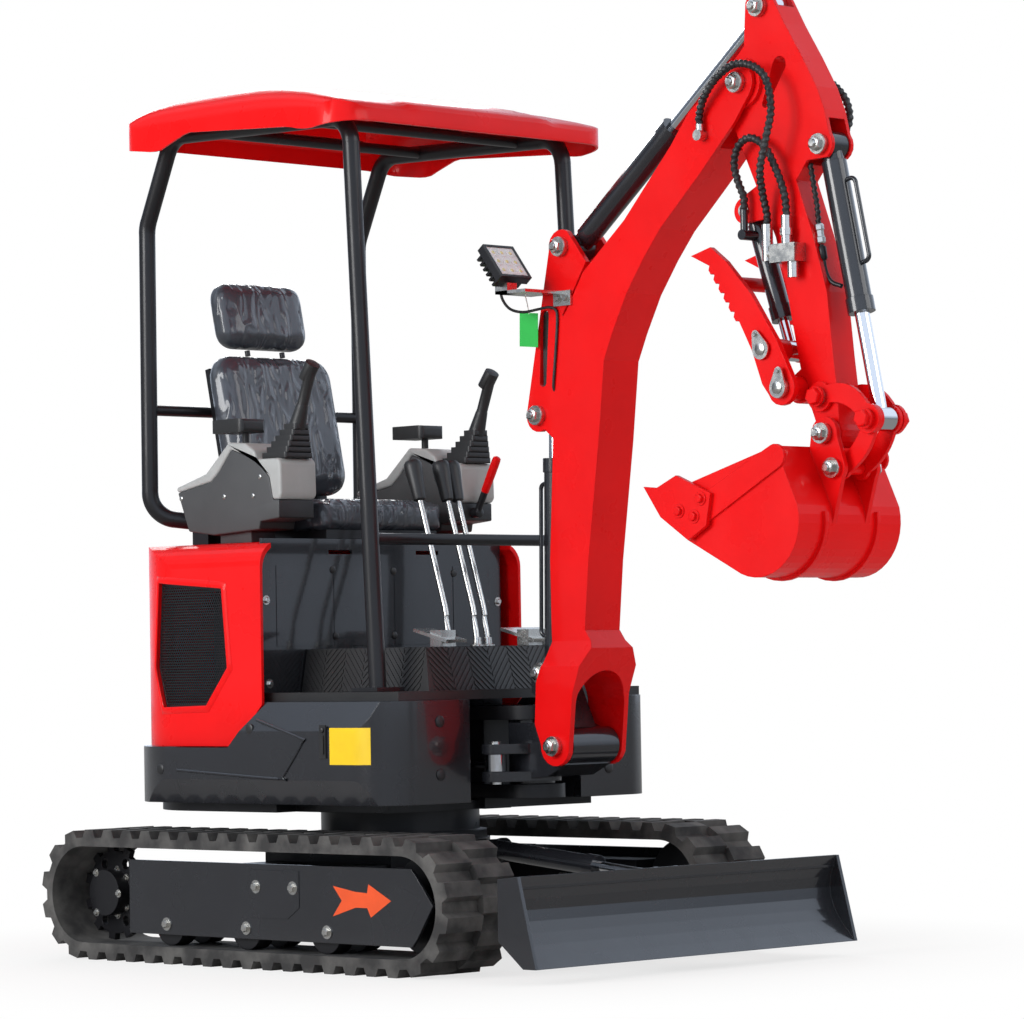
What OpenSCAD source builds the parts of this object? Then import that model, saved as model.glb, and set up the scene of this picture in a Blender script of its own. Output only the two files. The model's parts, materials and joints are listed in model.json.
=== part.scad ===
// Mini excavator with canopy, swing boom, thumb and dozer blade.
// X points forward, Y to the operator's left, Z up. The origin is on the ground under the slew axis.

/* [Tracks] */
// Length of a track loop over its lugs
track_l = 1486; // [1350:1:1650]
// Height of a track loop over its lugs
track_h = 325; // [310:1:350]
// Width of a track belt
track_w = 230; // [200:1:240]
// Width over both tracks
overall_w = 1110; // [1060:1:1250]
// Number of lugs round one track
track_lugs = 44; // [36:1:48]
// Height of a lug above its belt
lug_h = 20; // [12:1:24]
// Thickness of the belt under the lugs
belt_t = 22; // [18:1:26]
// Radius of a bottom roller
roller_r = 54; // [45:1:58]

/* [Dozer blade] */
// Width of the blade
blade_w = 1110; // [900:1:1250]
// Height of the blade
blade_h = 207; // [180:1:230]
// Thickness of the blade's skin
blade_t = 12; // [8:1:16]

/* [House] */
// Width over the lower side skirts
skirt_w = 950; // [900:1:1000]
// Top of the lower side skirts above the ground
skirt_top = 640; // [600:1:655]
// Bottom of the lower side skirts above the ground
skirt_bottom = 392; // [385:1:420]
// Width over the engine covers
cover_w = 900; // [860:1:940]
// Top of the engine covers above the ground
cover_top = 1034; // [1000:1:1045]
// Thickness of the engine covers
cover_t = 8; // [5:1:12]
// Distance from the slew axis to the tail
tail_x = 600; // [580:1:640]
// Radius of the tail's corners
tail_r = 270; // [200:1:300]
// Width of the operator's step
step_w = 540; // [480:1:580]
// Height of the operator's floor above the ground
floor_z = 766; // [740:1:790]

/* [Canopy] */
// Diameter of the canopy's tubes
post_d = 42; // [34:1:46]
// Distance between the two hoops, centre to centre
hoop_w = 732; // [700:1:780]
// Width of the roof
roof_w = 940; // [880:1:1000]
// Thickness of the roof's moulding
roof_t = 6; // [4:1:10]

/* [Boom and arm] */
// Width of the boom's box
boom_w = 120; // [114:1:128]
// Width over the boom's foot
boom_foot_w = 196; // [190:1:204]
// Thickness of the boom's cheek and lug plates
boom_plate_t = 14; // [10:1:15]
// Width of the arm's box
arm_w = 75; // [70:1:77]
// Radius of the main pins
pin_r = 18; // [14:1:20]
// Radius of the linkage pins
link_pin_r = 15; // [12:1:17]

/* [Hydraulic cylinders] */
// Outer radius of the large barrels
barrel_r = 29; // [25:1:30]
// Radius of the large rods
rod_r = 17; // [14:1:19]
// Outer radius of the small barrels
small_barrel_r = 24; // [21:1:26]
// Radius of the small rods
small_rod_r = 13; // [10:1:15]

// Outer diameter of the hoses
hose_d = 20; // [16:1:22]

/* [Bucket and thumb] */
// Width of the bucket
bucket_w = 354; // [300:1:400]
// Thickness of the bucket's plates
bucket_t = 8; // [5:1:12]
// Width over the thumb's plates
thumb_w = 200; // [190:1:220]
// Thickness of a thumb plate
thumb_t = 14; // [10:1:15]

/* [Hidden] */
$fn = 64;

// Colours as the machine is painted
red = "#df1216";
black = "#26272c";
dark = "#1a1b1e";
rubber = "#333336";
zinc = "#c4c6c8";
chrome = "#dfe3e6";
grey = "#a9abab";

// Clearance of a pin in a running bore, and of a rod in its gland
pin_gap = 0.06;
rod_gap = 0.3;
// Clearance between plates that turn past each other
side_gap = 1.5;

// Pins of the working equipment, as [x, z]
foot = [646, 525];
boom_ram_base = [559, 699];
boom_ram_eye = [572, 1321];
arm_ram_base = [658, 1722];
tip = [1236, 2054];
arm_ram_eye = [1287, 2226];
bucket_ram_base = [1464, 1891];
rocker_pin = [1455, 1317];
linkage_pin = [1597, 1260];
bucket_pin = [1480, 1232];
ear_pin = [1507, 1153];
thumb_pin = [1387, 1339];
thumb_ram_eye = [1333, 1430];
thumb_ram_base = [1228, 1760];

// Swing post, as [x, y], and the swing cylinder's two pins
swing_axis = [470, 0];
swing_ram_base = [-30, -130];
swing_ram_eye = [476, -130];

// Blade hinge and the blade cylinder's two pins, as [x, z]
blade_hinge = [420, 190];
blade_ram_base = [330, 270];
blade_ram_eye = [905, 215];

function dir(a) = [cos(a), sin(a)];
// Points on an arc from angle a0 to a1
function arc(c, r, a0, a1, n = 10) = [for (i = [0:n]) c + r * dir(a0 + (a1 - a0) * i / n)];
function heading(a, b) = atan2(b[0] - a[0], b[1] - a[1]);
function gap_between(a, b) = norm(b - a);

// An outline in the XZ plane, extruded to width w about y
module across(w, y = 0) {
  translate([0, y + w / 2, 0]) rotate([90, 0, 0]) linear_extrude(w) children();
}

// A pin, boss or bore across the machine at p
module disc(p, r, w, y = 0) {
  translate([p[0], y, p[1]]) rotate([90, 0, 0]) cylinder(r = r, h = w, center = true);
}

// The children on both sides of the machine
module both() {
  for (s = [0, 1]) mirror([0, s, 0]) children();
}

// A strap with round ends in the XZ plane
module strap(a, ra, b, rb) {
  turn = atan2(b[1] - a[1], b[0] - a[0]);
  lean = acos((ra - rb) / gap_between(a, b));
  polygon(concat(arc(a, ra, turn + lean, turn + 360 - lean, 16), arc(b, rb, turn - lean, turn + lean, 16)));
}

// A bowed strap from a to b with round ends, w wide at its middle, which rises to the left of its way
module bow(a, ra, b, rb, w, rise) {
  left = [a[1] - b[1], b[0] - a[0]] / gap_between(a, b);
  steps = 8;
  function middle(t) = a + (b - a) * t + left * rise * 4 * t * (1 - t);
  translate(a) circle(ra);
  translate(b) circle(rb);
  polygon(concat(
    [for (i = [0:steps]) middle(i / steps) + left * w / 2],
    [for (i = [steps:-1:0]) middle(i / steps) - left * w / 2]));
}

// Children drawn along +Z are laid from pin a towards pin b in the XZ plane
module aim(a, b) {
  translate([a[0], 0, a[1]]) rotate([0, heading(a, b), 0]) children();
}

// Cylinder barrel with its eye at the origin, open at the gland
module barrel(r, rod, eye_r, eye_w, pin, length) {
  wall = 5;
  gland_l = 34;
  neck = eye_r + 8;
  difference() {
    union() {
      rotate([90, 0, 0]) cylinder(r = eye_r, h = eye_w, center = true);
      cylinder(r = eye_w / 2 - 1, h = neck + 6);
      translate([0, 0, neck]) cylinder(r = r, h = length - neck - 2);
      translate([0, 0, length - gland_l]) cylinder(r = r + 3, h = gland_l);
    }
    rotate([90, 0, 0]) cylinder(r = pin + pin_gap, h = eye_w + 2, center = true);
    translate([0, 0, neck + 8]) cylinder(r = r - wall, h = length - neck - gland_l - 8);
    translate([0, 0, length - gland_l - 1]) cylinder(r = rod + rod_gap, h = gland_l + 2);
  }
}

// Cylinder rod with its eye at the origin and its piston end towards -Z
module rod(r, bore_r, eye_r, eye_w, pin, length) {
  piston_l = 26;
  difference() {
    union() {
      rotate([90, 0, 0]) cylinder(r = eye_r, h = eye_w, center = true);
      translate([0, 0, -length]) cylinder(r = r, h = length);
      translate([0, 0, -length]) cylinder(r = bore_r - rod_gap, h = piston_l);
    }
    rotate([90, 0, 0]) cylinder(r = pin, h = eye_w + 2, center = true);
  }
}

// Steel line beside a barrel, between its two ports
module barrel_line(r, z0, z1) {
  out = r + 22;
  line_d = 10;
  pipe([[4 - r, 0, z0], [-out, 0, z0], [-out, 0, z1], [4 - r, 0, z1]], line_d, 14);
}

// Point at share t of the smooth curve through the points p, between p[i] and p[i + 1]
function curve_point(p, i, t) =
  let (
    last = len(p) - 1,
    b = p[i],
    c = p[i + 1],
    a = i > 0 ? p[i - 1] : 2 * b - c,
    d = i + 1 < last ? p[i + 2] : 2 * c - b)
    (2 * b + (c - a) * t + (2 * a - 5 * b + 4 * c - d) * t * t + (3 * b - a - 3 * c + d) * t * t * t) / 2;
function curve(p, n) = concat([for (i = [0:len(p) - 2], k = [0:n - 1]) curve_point(p, i, k / n)], [p[len(p) - 1]]);

// A hose through the points p, which lie near a plane along X and Z
module hose(p) {
  sides = 8;
  c = curve(p, 2);
  last = len(c) - 1;
  rings = [
    for (i = [0:last])
      let (
        way = i == 0 ? p[1] - p[0] : i == last ? p[len(p) - 1] - p[len(p) - 2] : c[i + 1] - c[i - 1],
        t = unit(way),
        x = unit(cross(t, [0, 1, 0])),
        y = cross(t, x))
        for (k = [0:sides - 1]) c[i] + hose_d / 2 * (x * cos(360 * k / sides) + y * sin(360 * k / sides))
  ];
  polyhedron(rings, concat(
    [[for (k = [0:sides - 1]) sides - 1 - k], [for (k = [0:sides - 1]) last * sides + k]],
    [for (i = [0:last - 1], k = [0:sides - 1])
      let (a = i * sides, n = (k + 1) % sides) [a + k, a + n, a + sides + n, a + sides + k]]));
}

/* Undercarriage */
lug_tip_r = track_h / 2;
belt_r = lug_tip_r - lug_h;
belt_in_r = belt_r - belt_t;
axle_x = track_l / 2 - lug_tip_r;
axle_z = lug_tip_r;
track_y = (overall_w - track_w) / 2;
loop_l = 4 * axle_x + 2 * PI * belt_r;

// Point on the loop at distance s along its belt, h above the belt
function loop_at(s, h) =
  let (t = s % loop_l, run = 2 * axle_x, bend = PI * belt_r, r = belt_r + h)
    t < run ? [t - axle_x, -r] :
    t < run + bend ? [axle_x, 0] + r * dir(-90 + (t - run) / bend * 180) :
    t < 2 * run + bend ? [axle_x - (t - run - bend), r] :
    [-axle_x, 0] + r * dir(90 + (t - 2 * run - bend) / bend * 180);

lug_root = 0.66;
lug_tip = 0.42;
function lug_outline(phase) = [
  for (i = [0:track_lugs - 1], k = [[-lug_root, 0], [-lug_tip, 1], [lug_tip, 1], [lug_root, 0]])
    loop_at((i + phase + 0.5 + k[0] / 2) * loop_l / track_lugs, k[1] * lug_h)
];

module stadium(r) {
  for (s = [-1, 1]) translate([s * axle_x, 0]) circle(r);
  square([2 * axle_x, 2 * r], center = true);
}

// Endless rubber belt with two staggered rows of lugs
module track(y) {
  row_w = track_w / 2;
  translate([0, 0, axle_z]) for (row = [0, 1])
    across(row_w, y + (row - 0.5) * row_w) difference() {
      polygon(lug_outline(row / 2));
      stadium(belt_in_r);
    }
}
module track_right() { color(rubber) track(-track_y); }
module track_left() { color(rubber) track(track_y); }

roller_x = [-290, -5, 280];
roller_z = lug_h + belt_t + roller_r;
beam_in = track_y - 60;
beam_out = track_y + 78;
beam_x0 = -430;
beam_x1 = 452;
beam_z0 = 108;
beam_z1 = 228;
car_z1 = 292;
// Idler forks, drive housings and roller hangers of the side beams
idler_hub_w = 48;
fork_t = 14;
motor_w = 40;
motor_y = track_y - 42;
hanger_t = 24;
roller_axle_r = 14;
// Tie-down eyes behind the cross frame, as [x, y] of their bores
tie_down = [-320, 130];
tie_down_r = 16;
tie_down_t = 16;
tie_down_z = 197;

// Two side beams, the cross frame with its slew seat, and the lugs of the blade
module track_frame() {
  hinge_lug_w = 22;
  color(black) difference() {
    union() {
      both() translate([beam_x0, beam_in, beam_z0])
        cube([beam_x1 - beam_x0, beam_out - beam_in, beam_z1 - beam_z0]);
      both() for (y = [-1, 1]) across(fork_t, track_y + y * (idler_hub_w + fork_t) / 2)
        strap([axle_x, axle_z], 26, [beam_x1 - 20, axle_z], 40);
      both() across(motor_w, motor_y) strap([-axle_x, axle_z], 62, [beam_x0 + 20, axle_z], 46);
      both() for (x = roller_x) across(hanger_t, track_y) strap([x, roller_z], 30, [x, beam_z0 + 30], 36);
      for (x = [-200, 120]) translate([x, -beam_in - 1, 130]) cube([100, 2 * beam_in + 2, 110]);
      translate([-230, -250, 150]) cube([460, 500, 120]);
      translate([0, 0, 230]) cylinder(r = 225, h = car_z1 - 230);
      both() for (s = [-1, 1]) across(hinge_lug_w, 200 + s * 33)
        strap(blade_hinge, 34, [200, 190], 44);
      both() across(14, 36) strap(blade_ram_base, 26, [180, 225], 40);
      both() translate([0, 0, tie_down_z]) linear_extrude(tie_down_t) strap(tie_down, 30, tie_down + [110, 0], 40);
    }
    both() for (x = roller_x) {
      for (y = [-1, 1]) disc([x, roller_z], roller_r + 6, 70, track_y + y * (hanger_t / 2 + 36));
      disc([x, roller_z], roller_axle_r + pin_gap, 200, track_y);
    }
    both() disc(blade_hinge, pin_r + pin_gap, 120, 200);
    disc(blade_ram_base, link_pin_r + pin_gap, 200);
    both() translate([tie_down[0], tie_down[1], tie_down_z - 10]) cylinder(r = tie_down_r, h = tie_down_t + 20);
  }
}

guard_t = 8;
guard_y = beam_out + guard_t / 2;
// Long cover plate on the outer face of each side beam
module track_guards() {
  mid_z = (beam_z0 + beam_z1) / 2;
  top_z = mid_z + 84;
  bottom_z = mid_z - 98;
  color(black) both() across(guard_t, guard_y) polygon([
    [-430, bottom_z], [590, bottom_z], [608, bottom_z + 20], [662, mid_z], [608, top_z - 18], [590, top_z], [-430, top_z]
  ]);
}

sprocket_teeth = 11;
module sprocket_outline() {
  circle(belt_in_r - 16);
  for (i = [0:sprocket_teeth - 1]) rotate(i * 360 / sprocket_teeth)
    translate([belt_in_r - 40, -12]) square([39, 24]);
}
// Drive sprockets at the rear, idlers at the front and three rollers under each beam
module track_wheels() {
  hub_r = 58;
  disc_t = 16;
  color(dark) both() {
    translate([-axle_x, track_y, axle_z]) rotate([90, 0, 0]) {
      translate([0, 0, -disc_t / 2]) linear_extrude(disc_t) difference() {
        sprocket_outline();
        for (i = [0:5]) rotate(i * 60) translate([82, 0]) circle(13);
      }
      translate([0, 0, -45]) cylinder(r = hub_r, h = 45 + track_y - motor_y - motor_w / 2 - 0.3);
    }
    translate([axle_x, track_y, axle_z]) rotate([90, 0, 0]) {
      cylinder(r = belt_in_r - 0.3, h = 40, center = true);
      cylinder(r = 40, h = idler_hub_w - 0.6, center = true);
    }
    for (x = roller_x) {
      for (s = [-1, 1]) disc([x, roller_z], roller_r - 0.3, 46, track_y + s * 50);
      disc([x, roller_z], roller_axle_r, 146, track_y);
    }
  }
}

ring_r = 205;
ring_z1 = 368;
// Lower half of the slew bearing with its gear guard
module slew_ring() {
  color(dark) translate([0, 0, car_z1]) {
    cylinder(r = ring_r + 12, h = 20);
    cylinder(r = ring_r - 6, h = ring_z1 - car_z1);
  }
}

/* Dozer blade */
blade_x = 1022;
blade_z = 37;
blade_top = blade_z + blade_h;
blade_lean = 54;
blade_hollow = 46;

// Point of the moldboard's curve at height share t, d behind its face
function blade_point(t, d) = [blade_x - blade_lean * t - blade_hollow * sin(180 * t) - d, blade_z + blade_h * t];

// Concave moldboard with its end plates, top band, two arms and cylinder lugs
module dozer_blade() {
  color(black) difference() {
    union() {
      across(blade_w) polygon(concat(
        [for (i = [0:8]) blade_point(i / 8, 0)],
        [for (i = [8:-1:0]) blade_point(i / 8, blade_t)]));
      both() across(10, blade_w / 2 - 5) polygon([
        [blade_x, blade_z], [blade_x - blade_lean, blade_top], [blade_x - blade_lean - 64, blade_top - 6],
        [blade_x - blade_lean - 64, blade_z + 60], [blade_x - 40, blade_z]]);
      translate([blade_x - blade_lean - blade_t - 16, -blade_w / 2, blade_top - 30]) cube([18, blade_w, 24]);
      both() across(40, 200) strap(blade_hinge, 36, [blade_x - 130, blade_z + 100], 42);
      translate([blade_x - 150, -220, blade_z + 62]) cube([70, 440, 70]);
      both() across(14, 34) strap(blade_ram_eye, 26, [blade_x - 122, blade_z + 110], 34);
    }
    both() disc(blade_hinge, pin_r + 0.05, 60, 200);
    disc(blade_ram_eye, link_pin_r, 200);
  }
}
// Hinge pins of the blade arms and the short pins at its cylinder's eye
module blade_pins() {
  color(zinc) both() {
    disc(blade_hinge, pin_r, 108, 200);
    disc(blade_ram_eye, link_pin_r - 0.3, 20, 37);
  }
}

blade_ram_rest = gap_between(blade_ram_base, blade_ram_eye);
blade_barrel_l = 360;
module blade_barrel() {
  color(black) aim(blade_ram_base, blade_ram_eye)
    barrel(small_barrel_r, small_rod_r, 24, 50, link_pin_r, blade_barrel_l);
  color(zinc) disc(blade_ram_base, link_pin_r, 90);
}
module blade_rod() {
  color(chrome) aim(blade_ram_base, blade_ram_eye) translate([0, 0, blade_ram_rest])
    rod(small_rod_r, small_barrel_r - 5, 24, 50, link_pin_r, 380);
}

/* House */
lug_plate_t = 34;
lower_lug_z = 398;
upper_lug_z = 588;
post_r = 30;
deck_t = 21.7;
swing_lever_z = 440;
swing_lever_t = 24;
swing_eye_w = 40;
swing_eye_z = swing_lever_z + swing_lever_t + swing_eye_w / 2 + side_gap;
stand_z = swing_eye_z - swing_eye_w / 2 - side_gap;

// Plan of the house over the tail, inset by d
module house_plan(w, d) {
  half = w / 2 - d;
  r = tail_r - d;
  for (s = [-1, 1]) translate([-tail_x + tail_r, s * (w / 2 - tail_r)]) circle(r);
  translate([-tail_x + d, -(w / 2 - tail_r)]) square([tail_r, w - 2 * tail_r]);
  translate([-tail_x + tail_r, -half]) square([tail_x - tail_r, 2 * half]);
}

// Base plate over the slew bearing, with the two lugs of the swing post
module deck_frame() {
  lug_half = 80;
  web_half = 45;
  web_x = 230;
  web_l = 120;
  color(dark) difference() {
    union() {
      translate([0, 0, ring_z1 + 2]) linear_extrude(deck_t) intersection() {
        house_plan(skirt_w - 120, 0);
        translate([-1000, -1000]) square([1000, 2000]);
      }
      translate([-1, -350, ring_z1 + 2]) cube([330, 700, deck_t]);
      translate([web_x, -web_half, ring_z1 + 2]) cube([web_l, 2 * web_half, upper_lug_z + lug_plate_t - ring_z1 - 2]);
      for (z = [lower_lug_z, upper_lug_z]) translate([0, 0, z]) {
        translate([web_x, -lug_half, 0]) cube([swing_axis[0] - web_x, 2 * lug_half, lug_plate_t]);
        translate(swing_axis) cylinder(r = lug_half, h = lug_plate_t);
      }
      translate([swing_ram_base[0] - 40, swing_ram_base[1] - 50, ring_z1 + deck_t]) cube([64, 100, stand_z - ring_z1 - deck_t]);
      translate([0, 0, ring_z1 + 0.3]) cylinder(r = ring_r - 6, h = 10);
    }
    translate([swing_axis[0], swing_axis[1], 300]) cylinder(r = post_r + pin_gap, h = 400);
    translate([swing_ram_base[0], swing_ram_base[1], ring_z1 + deck_t + 6]) cylinder(r = link_pin_r + pin_gap, h = 200);
  }
}

// Rounded front corner and straight side of a lower skirt, in plan
module skirt_plan() {
  front_x = 450;
  inner_y = 190;
  corner = 110;
  translate([front_x - corner, -skirt_w / 2 + corner]) circle(corner);
  translate([-300, -skirt_w / 2]) square([front_x - corner + 300, skirt_w / 2 - inner_y]);
  translate([front_x - corner - 10, -skirt_w / 2 + corner]) square([corner + 10, skirt_w / 2 - inner_y - corner]);
}

skirt_bevel = 34;
// Side view of the skirts: raised behind the front corner, cut down under the covers
module skirt_side() {
  polygon([
    [-700, skirt_bottom], [500, skirt_bottom], [500, skirt_top], [10, skirt_top], [-110, 530], [-700, 530]
  ]);
}
// Front view of a skirt with its bevelled upper edge
module skirt_front() {
  half = skirt_w / 2;
  polygon([
    [-half + 22, skirt_bottom], [-half, skirt_bottom + 60], [-half, skirt_top - 70], [-half + 26, skirt_top],
    [half - 26, skirt_top], [half, skirt_top - 70], [half, skirt_bottom + 60], [half - 22, skirt_bottom]
  ]);
}
module side_skirts() {
  color(black) both() intersection() {
    translate([0, 0, skirt_bottom]) linear_extrude(skirt_top - skirt_bottom) difference() {
      skirt_plan();
      translate([-700, -skirt_w / 2 + 40]) square([900, 400]);
      translate([180, -skirt_w / 2 + 130]) square([120, 400]);
    }
    across(1200) skirt_side();
    translate([-800, 0, 0]) rotate([90, 0, 90]) linear_extrude(1400) skirt_front();
  }
}
// Cast tail weight round the back of the house
module counterweight() {
  color(black) intersection() {
    translate([0, 0, skirt_bottom + 0.3]) linear_extrude(cover_z - skirt_bottom - 0.6) difference() {
      house_plan(skirt_w, 0);
      translate([-300.3, -1000]) square([1000, 2000]);
      house_plan(skirt_w - 240, 70);
    }
    translate([-800, 0, 0]) rotate([90, 0, 90]) linear_extrude(1400) skirt_front();
  }
}

cover_front_x = -8;
cover_z = 532;
cover_round = 60;
// Front view of the engine covers with rounded upper corners, inset by d
module cover_front(d) {
  half = cover_w / 2 - d;
  polygon(concat(
    [[-half, cover_z - 10], [half, cover_z - 10]],
    arc([half - cover_round, cover_top - d - cover_round], cover_round, 0, 90, 8),
    arc([-half + cover_round, cover_top - d - cover_round], cover_round, 90, 180, 8)));
}
module cover_block(d) {
  intersection() {
    translate([0, 0, cover_z - 20]) linear_extrude(cover_top - cover_z + 20) house_plan(cover_w, d);
    translate([-800, 0, 0]) rotate([90, 0, 90]) linear_extrude(1400) cover_front(d);
  }
}
hood_w = 560;
hood_gap = 4;
// Distance of the grille plates behind the covers, and of the hood's hinge pins outside them
seam = 0.3;
hinge_out = 12.33;
hood_top = cover_top - 78;
// Hinges of the hood, as [x, y], with their heights
hood_hinge_y = hood_w / 2 + 12;
tail_turn = max(0, hood_hinge_y - cover_w / 2 + tail_r);
hood_hinge = [-tail_x + tail_r - sqrt(tail_r * tail_r - tail_turn * tail_turn) - hinge_out, hood_hinge_y];
hinge_z = [620, 880];
hinge_pin_r = 4;
knuckle_h = 36;
bulkhead_x = -52;
bulkhead_w = 822;
grille_c = [-277, 785];
// Six-sided grille opening in the side cover, inset by d
module grille_outline(d) {
  translate(grille_c) polygon([
    [-121 + d, 156 - d], [127 - d, 137 - d], [145 - d, -60], [64 - d, -153 + d], [-104 + d, -157 + d], [-145 + d, -57]
  ]);
}
// Side view of the covers: a slanted cut above the skirt's raised front
module cover_side() {
  polygon([
    [-700, cover_z], [-112, cover_z], [cover_front_x, 634], [cover_front_x, cover_top], [-700, cover_top]
  ]);
}
// Red covers of the engine bay, open at the rear for the hood and at the front for the bulkhead
module side_covers() {
  opening_w = hood_w + 2 * hood_gap;
  color(red) difference() {
    union() {
      intersection() {
        difference() {
          cover_block(0);
          cover_block(cover_t);
          translate([-tail_x - 10, -opening_w / 2, 0]) cube([200, opening_w, hood_top + hood_gap]);
        }
        across(1200) cover_side();
      }
      for (z = hinge_z) translate([hood_hinge[0] - 10, hood_hinge[1] - 6.5, z - knuckle_h / 2]) cube([34, 14, knuckle_h]);
    }
    for (z = hinge_z) translate([hood_hinge[0], hood_hinge[1], z - 30]) cylinder(r = hinge_pin_r + pin_gap, h = 60);
    both() across(200, -cover_w / 2) grille_outline(0);
    translate([bulkhead_x - 4, -bulkhead_w / 2 - 2, cover_top - 40]) cube([100, bulkhead_w + 4, 80]);
  }
}
// Perforated plates behind the side openings
module side_grilles() {
  pitch = 26;
  hole_r = 9;
  plate_t = 3;
  color(dark) both() intersection() {
    difference() {
      cover_block(cover_t + seam);
      cover_block(cover_t + seam + plate_t);
    }
    across(200, -cover_w / 2) difference() {
      grille_outline(-8);
      for (i = [-5:5], j = [-5:5])
        let (p = grille_c + [(i + (abs(j) % 2) / 2) * pitch, j * pitch * 0.87])
          if (abs(p[0] - grille_c[0]) < 118 - abs(j) * 5) translate(p) circle(hole_r);
    }
  }
}
// Rear hood between the side covers, with its hinge leaves and pins
module rear_hood() {
  leaf_h = 20;
  color(red) intersection() {
    difference() {
      cover_block(0);
      cover_block(cover_t);
    }
    translate([-tail_x - 10, -hood_w / 2, cover_z + 2]) cube([200, hood_w, hood_top - cover_z - 2]);
  }
  color(red) for (z = hinge_z) translate([hood_hinge[0], hood_hinge[1], z]) {
    translate([-6, -24, knuckle_h / 2 + 0.6]) cube([14, 30, leaf_h]);
    translate([0, 0, -knuckle_h / 2]) cylinder(r = hinge_pin_r, h = knuckle_h + leaf_h);
  }
}
seat_deck_z = cover_top + 8.3;
// Front wall of the engine bay and the seat's deck on top of the covers
module bulkhead() {
  wall_t = 8;
  color(black) difference() {
    union() {
      translate([bulkhead_x, -bulkhead_w / 2, cover_z]) cube([wall_t, bulkhead_w, seat_deck_z - cover_z]);
      translate([-380, -260, cover_top + 0.3]) cube([bulkhead_x + wall_t + 380, 520, seat_deck_z - cover_top - 0.3]);
    }
    for (y = [-150, 150]) translate([bulkhead_x - 8, y - 40, cover_top - 30]) cube([30, 80, 10]);
  }
}
// Engine as one plain block in its bay
module engine() {
  color("#5a5d60") translate([-460, -210, ring_z1 + deck_t + 2.3]) cube([360, 420, 520]);
}
// Raised step of the operator with its rubber mat
module floor_mat() {
  mat_lip = 4;
  mat_w = bulkhead_w + 2 * mat_lip;
  color(rubber) {
    intersection() {
      across(step_w + 40) polygon([[-40, skirt_top + 22], [415, skirt_top + 22], [385, floor_z], [-40, floor_z]]);
      translate([-200, 0, 0]) rotate([90, 0, 90]) linear_extrude(800) polygon([
        [-step_w / 2 - 20, skirt_top + 22], [step_w / 2 + 20, skirt_top + 22],
        [step_w / 2, floor_z], [-step_w / 2, floor_z]]);
    }
    translate([-40, -mat_w / 2, skirt_top + 0.3]) cube([480, mat_w, 22]);
  }
}

/* Operator's place */
seat_x = -240;
seat_w = 430;
module rounded_slab(size, r) {
  // Rounded in plan and along its long edges
  intersection() {
    linear_extrude(size[2]) union() {
      square([size[0] - 2 * r, size[1]], center = true);
      square([size[0], size[1] - 2 * r], center = true);
      for (i = [-1, 1], j = [-1, 1]) translate([i * (size[0] / 2 - r), j * (size[1] / 2 - r)]) circle(r);
    }
    translate([0, size[1] / 2, size[2] / 2]) rotate([90, 0, 0]) linear_extrude(size[1]) union() {
      e = min(r, size[2] / 3);
      square([size[0] - 2 * e, size[2]], center = true);
      square([size[0], size[2] - 2 * e], center = true);
      for (i = [-1, 1], j = [-1, 1]) translate([i * (size[0] / 2 - e), j * (size[2] / 2 - e)]) circle(e);
    }
  }
}
seat_z = 1066;
back_lean = -12;
back_w = 406;
back_h = 378;
headrest_gap = 14;
module seat_base() {
  color(dark) {
    translate([seat_x - 190, -190, seat_deck_z + 0.3]) cube([380, 380, seat_z - seat_deck_z - 0.3]);
    translate([seat_x - 188, 0, seat_z + 60]) rotate([0, back_lean, 0])
      translate([-20, -170, -40]) cube([16, 340, 420]);
    translate([seat_x - 188, 0, seat_z + 60]) rotate([0, back_lean, 0])
      for (y = [-60, 60]) translate([30, y, back_h + 30.3]) cylinder(r = 7, h = headrest_gap - 0.6);
    translate([seat_x - 206, -170, seat_deck_z + 0.3]) cube([22, 340, 60]);
  }
}
module seat_cushion() {
  color(dark) translate([seat_x + 15, 0, seat_z + 0.3]) rounded_slab([390, seat_w, 74], 40);
}
module seat_back() {
  color(dark) translate([seat_x - 188, 0, seat_z + 60]) rotate([0, back_lean, 0])
    translate([36.3, 0, 30]) rounded_slab([80, back_w, back_h], 38);
}
module headrest() {
  color(dark) translate([seat_x - 188, 0, seat_z + 60]) rotate([0, back_lean, 0])
    translate([26, 0, back_h + 30 + headrest_gap]) rounded_slab([74, 300, 186], 34);
}

console_y = 310;
console_w = 116;
// Line where the dark panel of a console meets its pale trim
panel_edge = [[-410, 1168], [-281, 1191], [-252, 1214], [-203, 1268], [-111, 1239], [-61, 1193], [-49, 1138]];
// Side panels that carry the joysticks, with their stands
module consoles() {
  color(black) both() {
    across(console_w, -console_y)
      polygon(concat(panel_edge, [[-26, 1138], [-26, 1092], [-96, 1086], [-100, 1066], [-274, 1057], [-369, 1069]]));
    translate([-270, -console_y - 40, cover_top + 0.3]) cube([120, 80, 34]);
  }
}
// Pale trim over the top and the front housing of each console
module console_trim() {
  lift = 0.4;
  color(grey) both() across(console_w + 4, -console_y) polygon(concat(
    [for (q = panel_edge) q + [0, lift]],
    [[-24, 1138 + lift], [-16, 1150], [-18, 1228], [-26, 1240], [-106, 1240], [-114, 1262], [-150, 1282], [-212, 1287],
     [-300, 1212], [-414, 1181]]));
}
stick_base = [-58, 1240.3];
stick_top = [40, 1470];
boot_w = 92;
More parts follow.
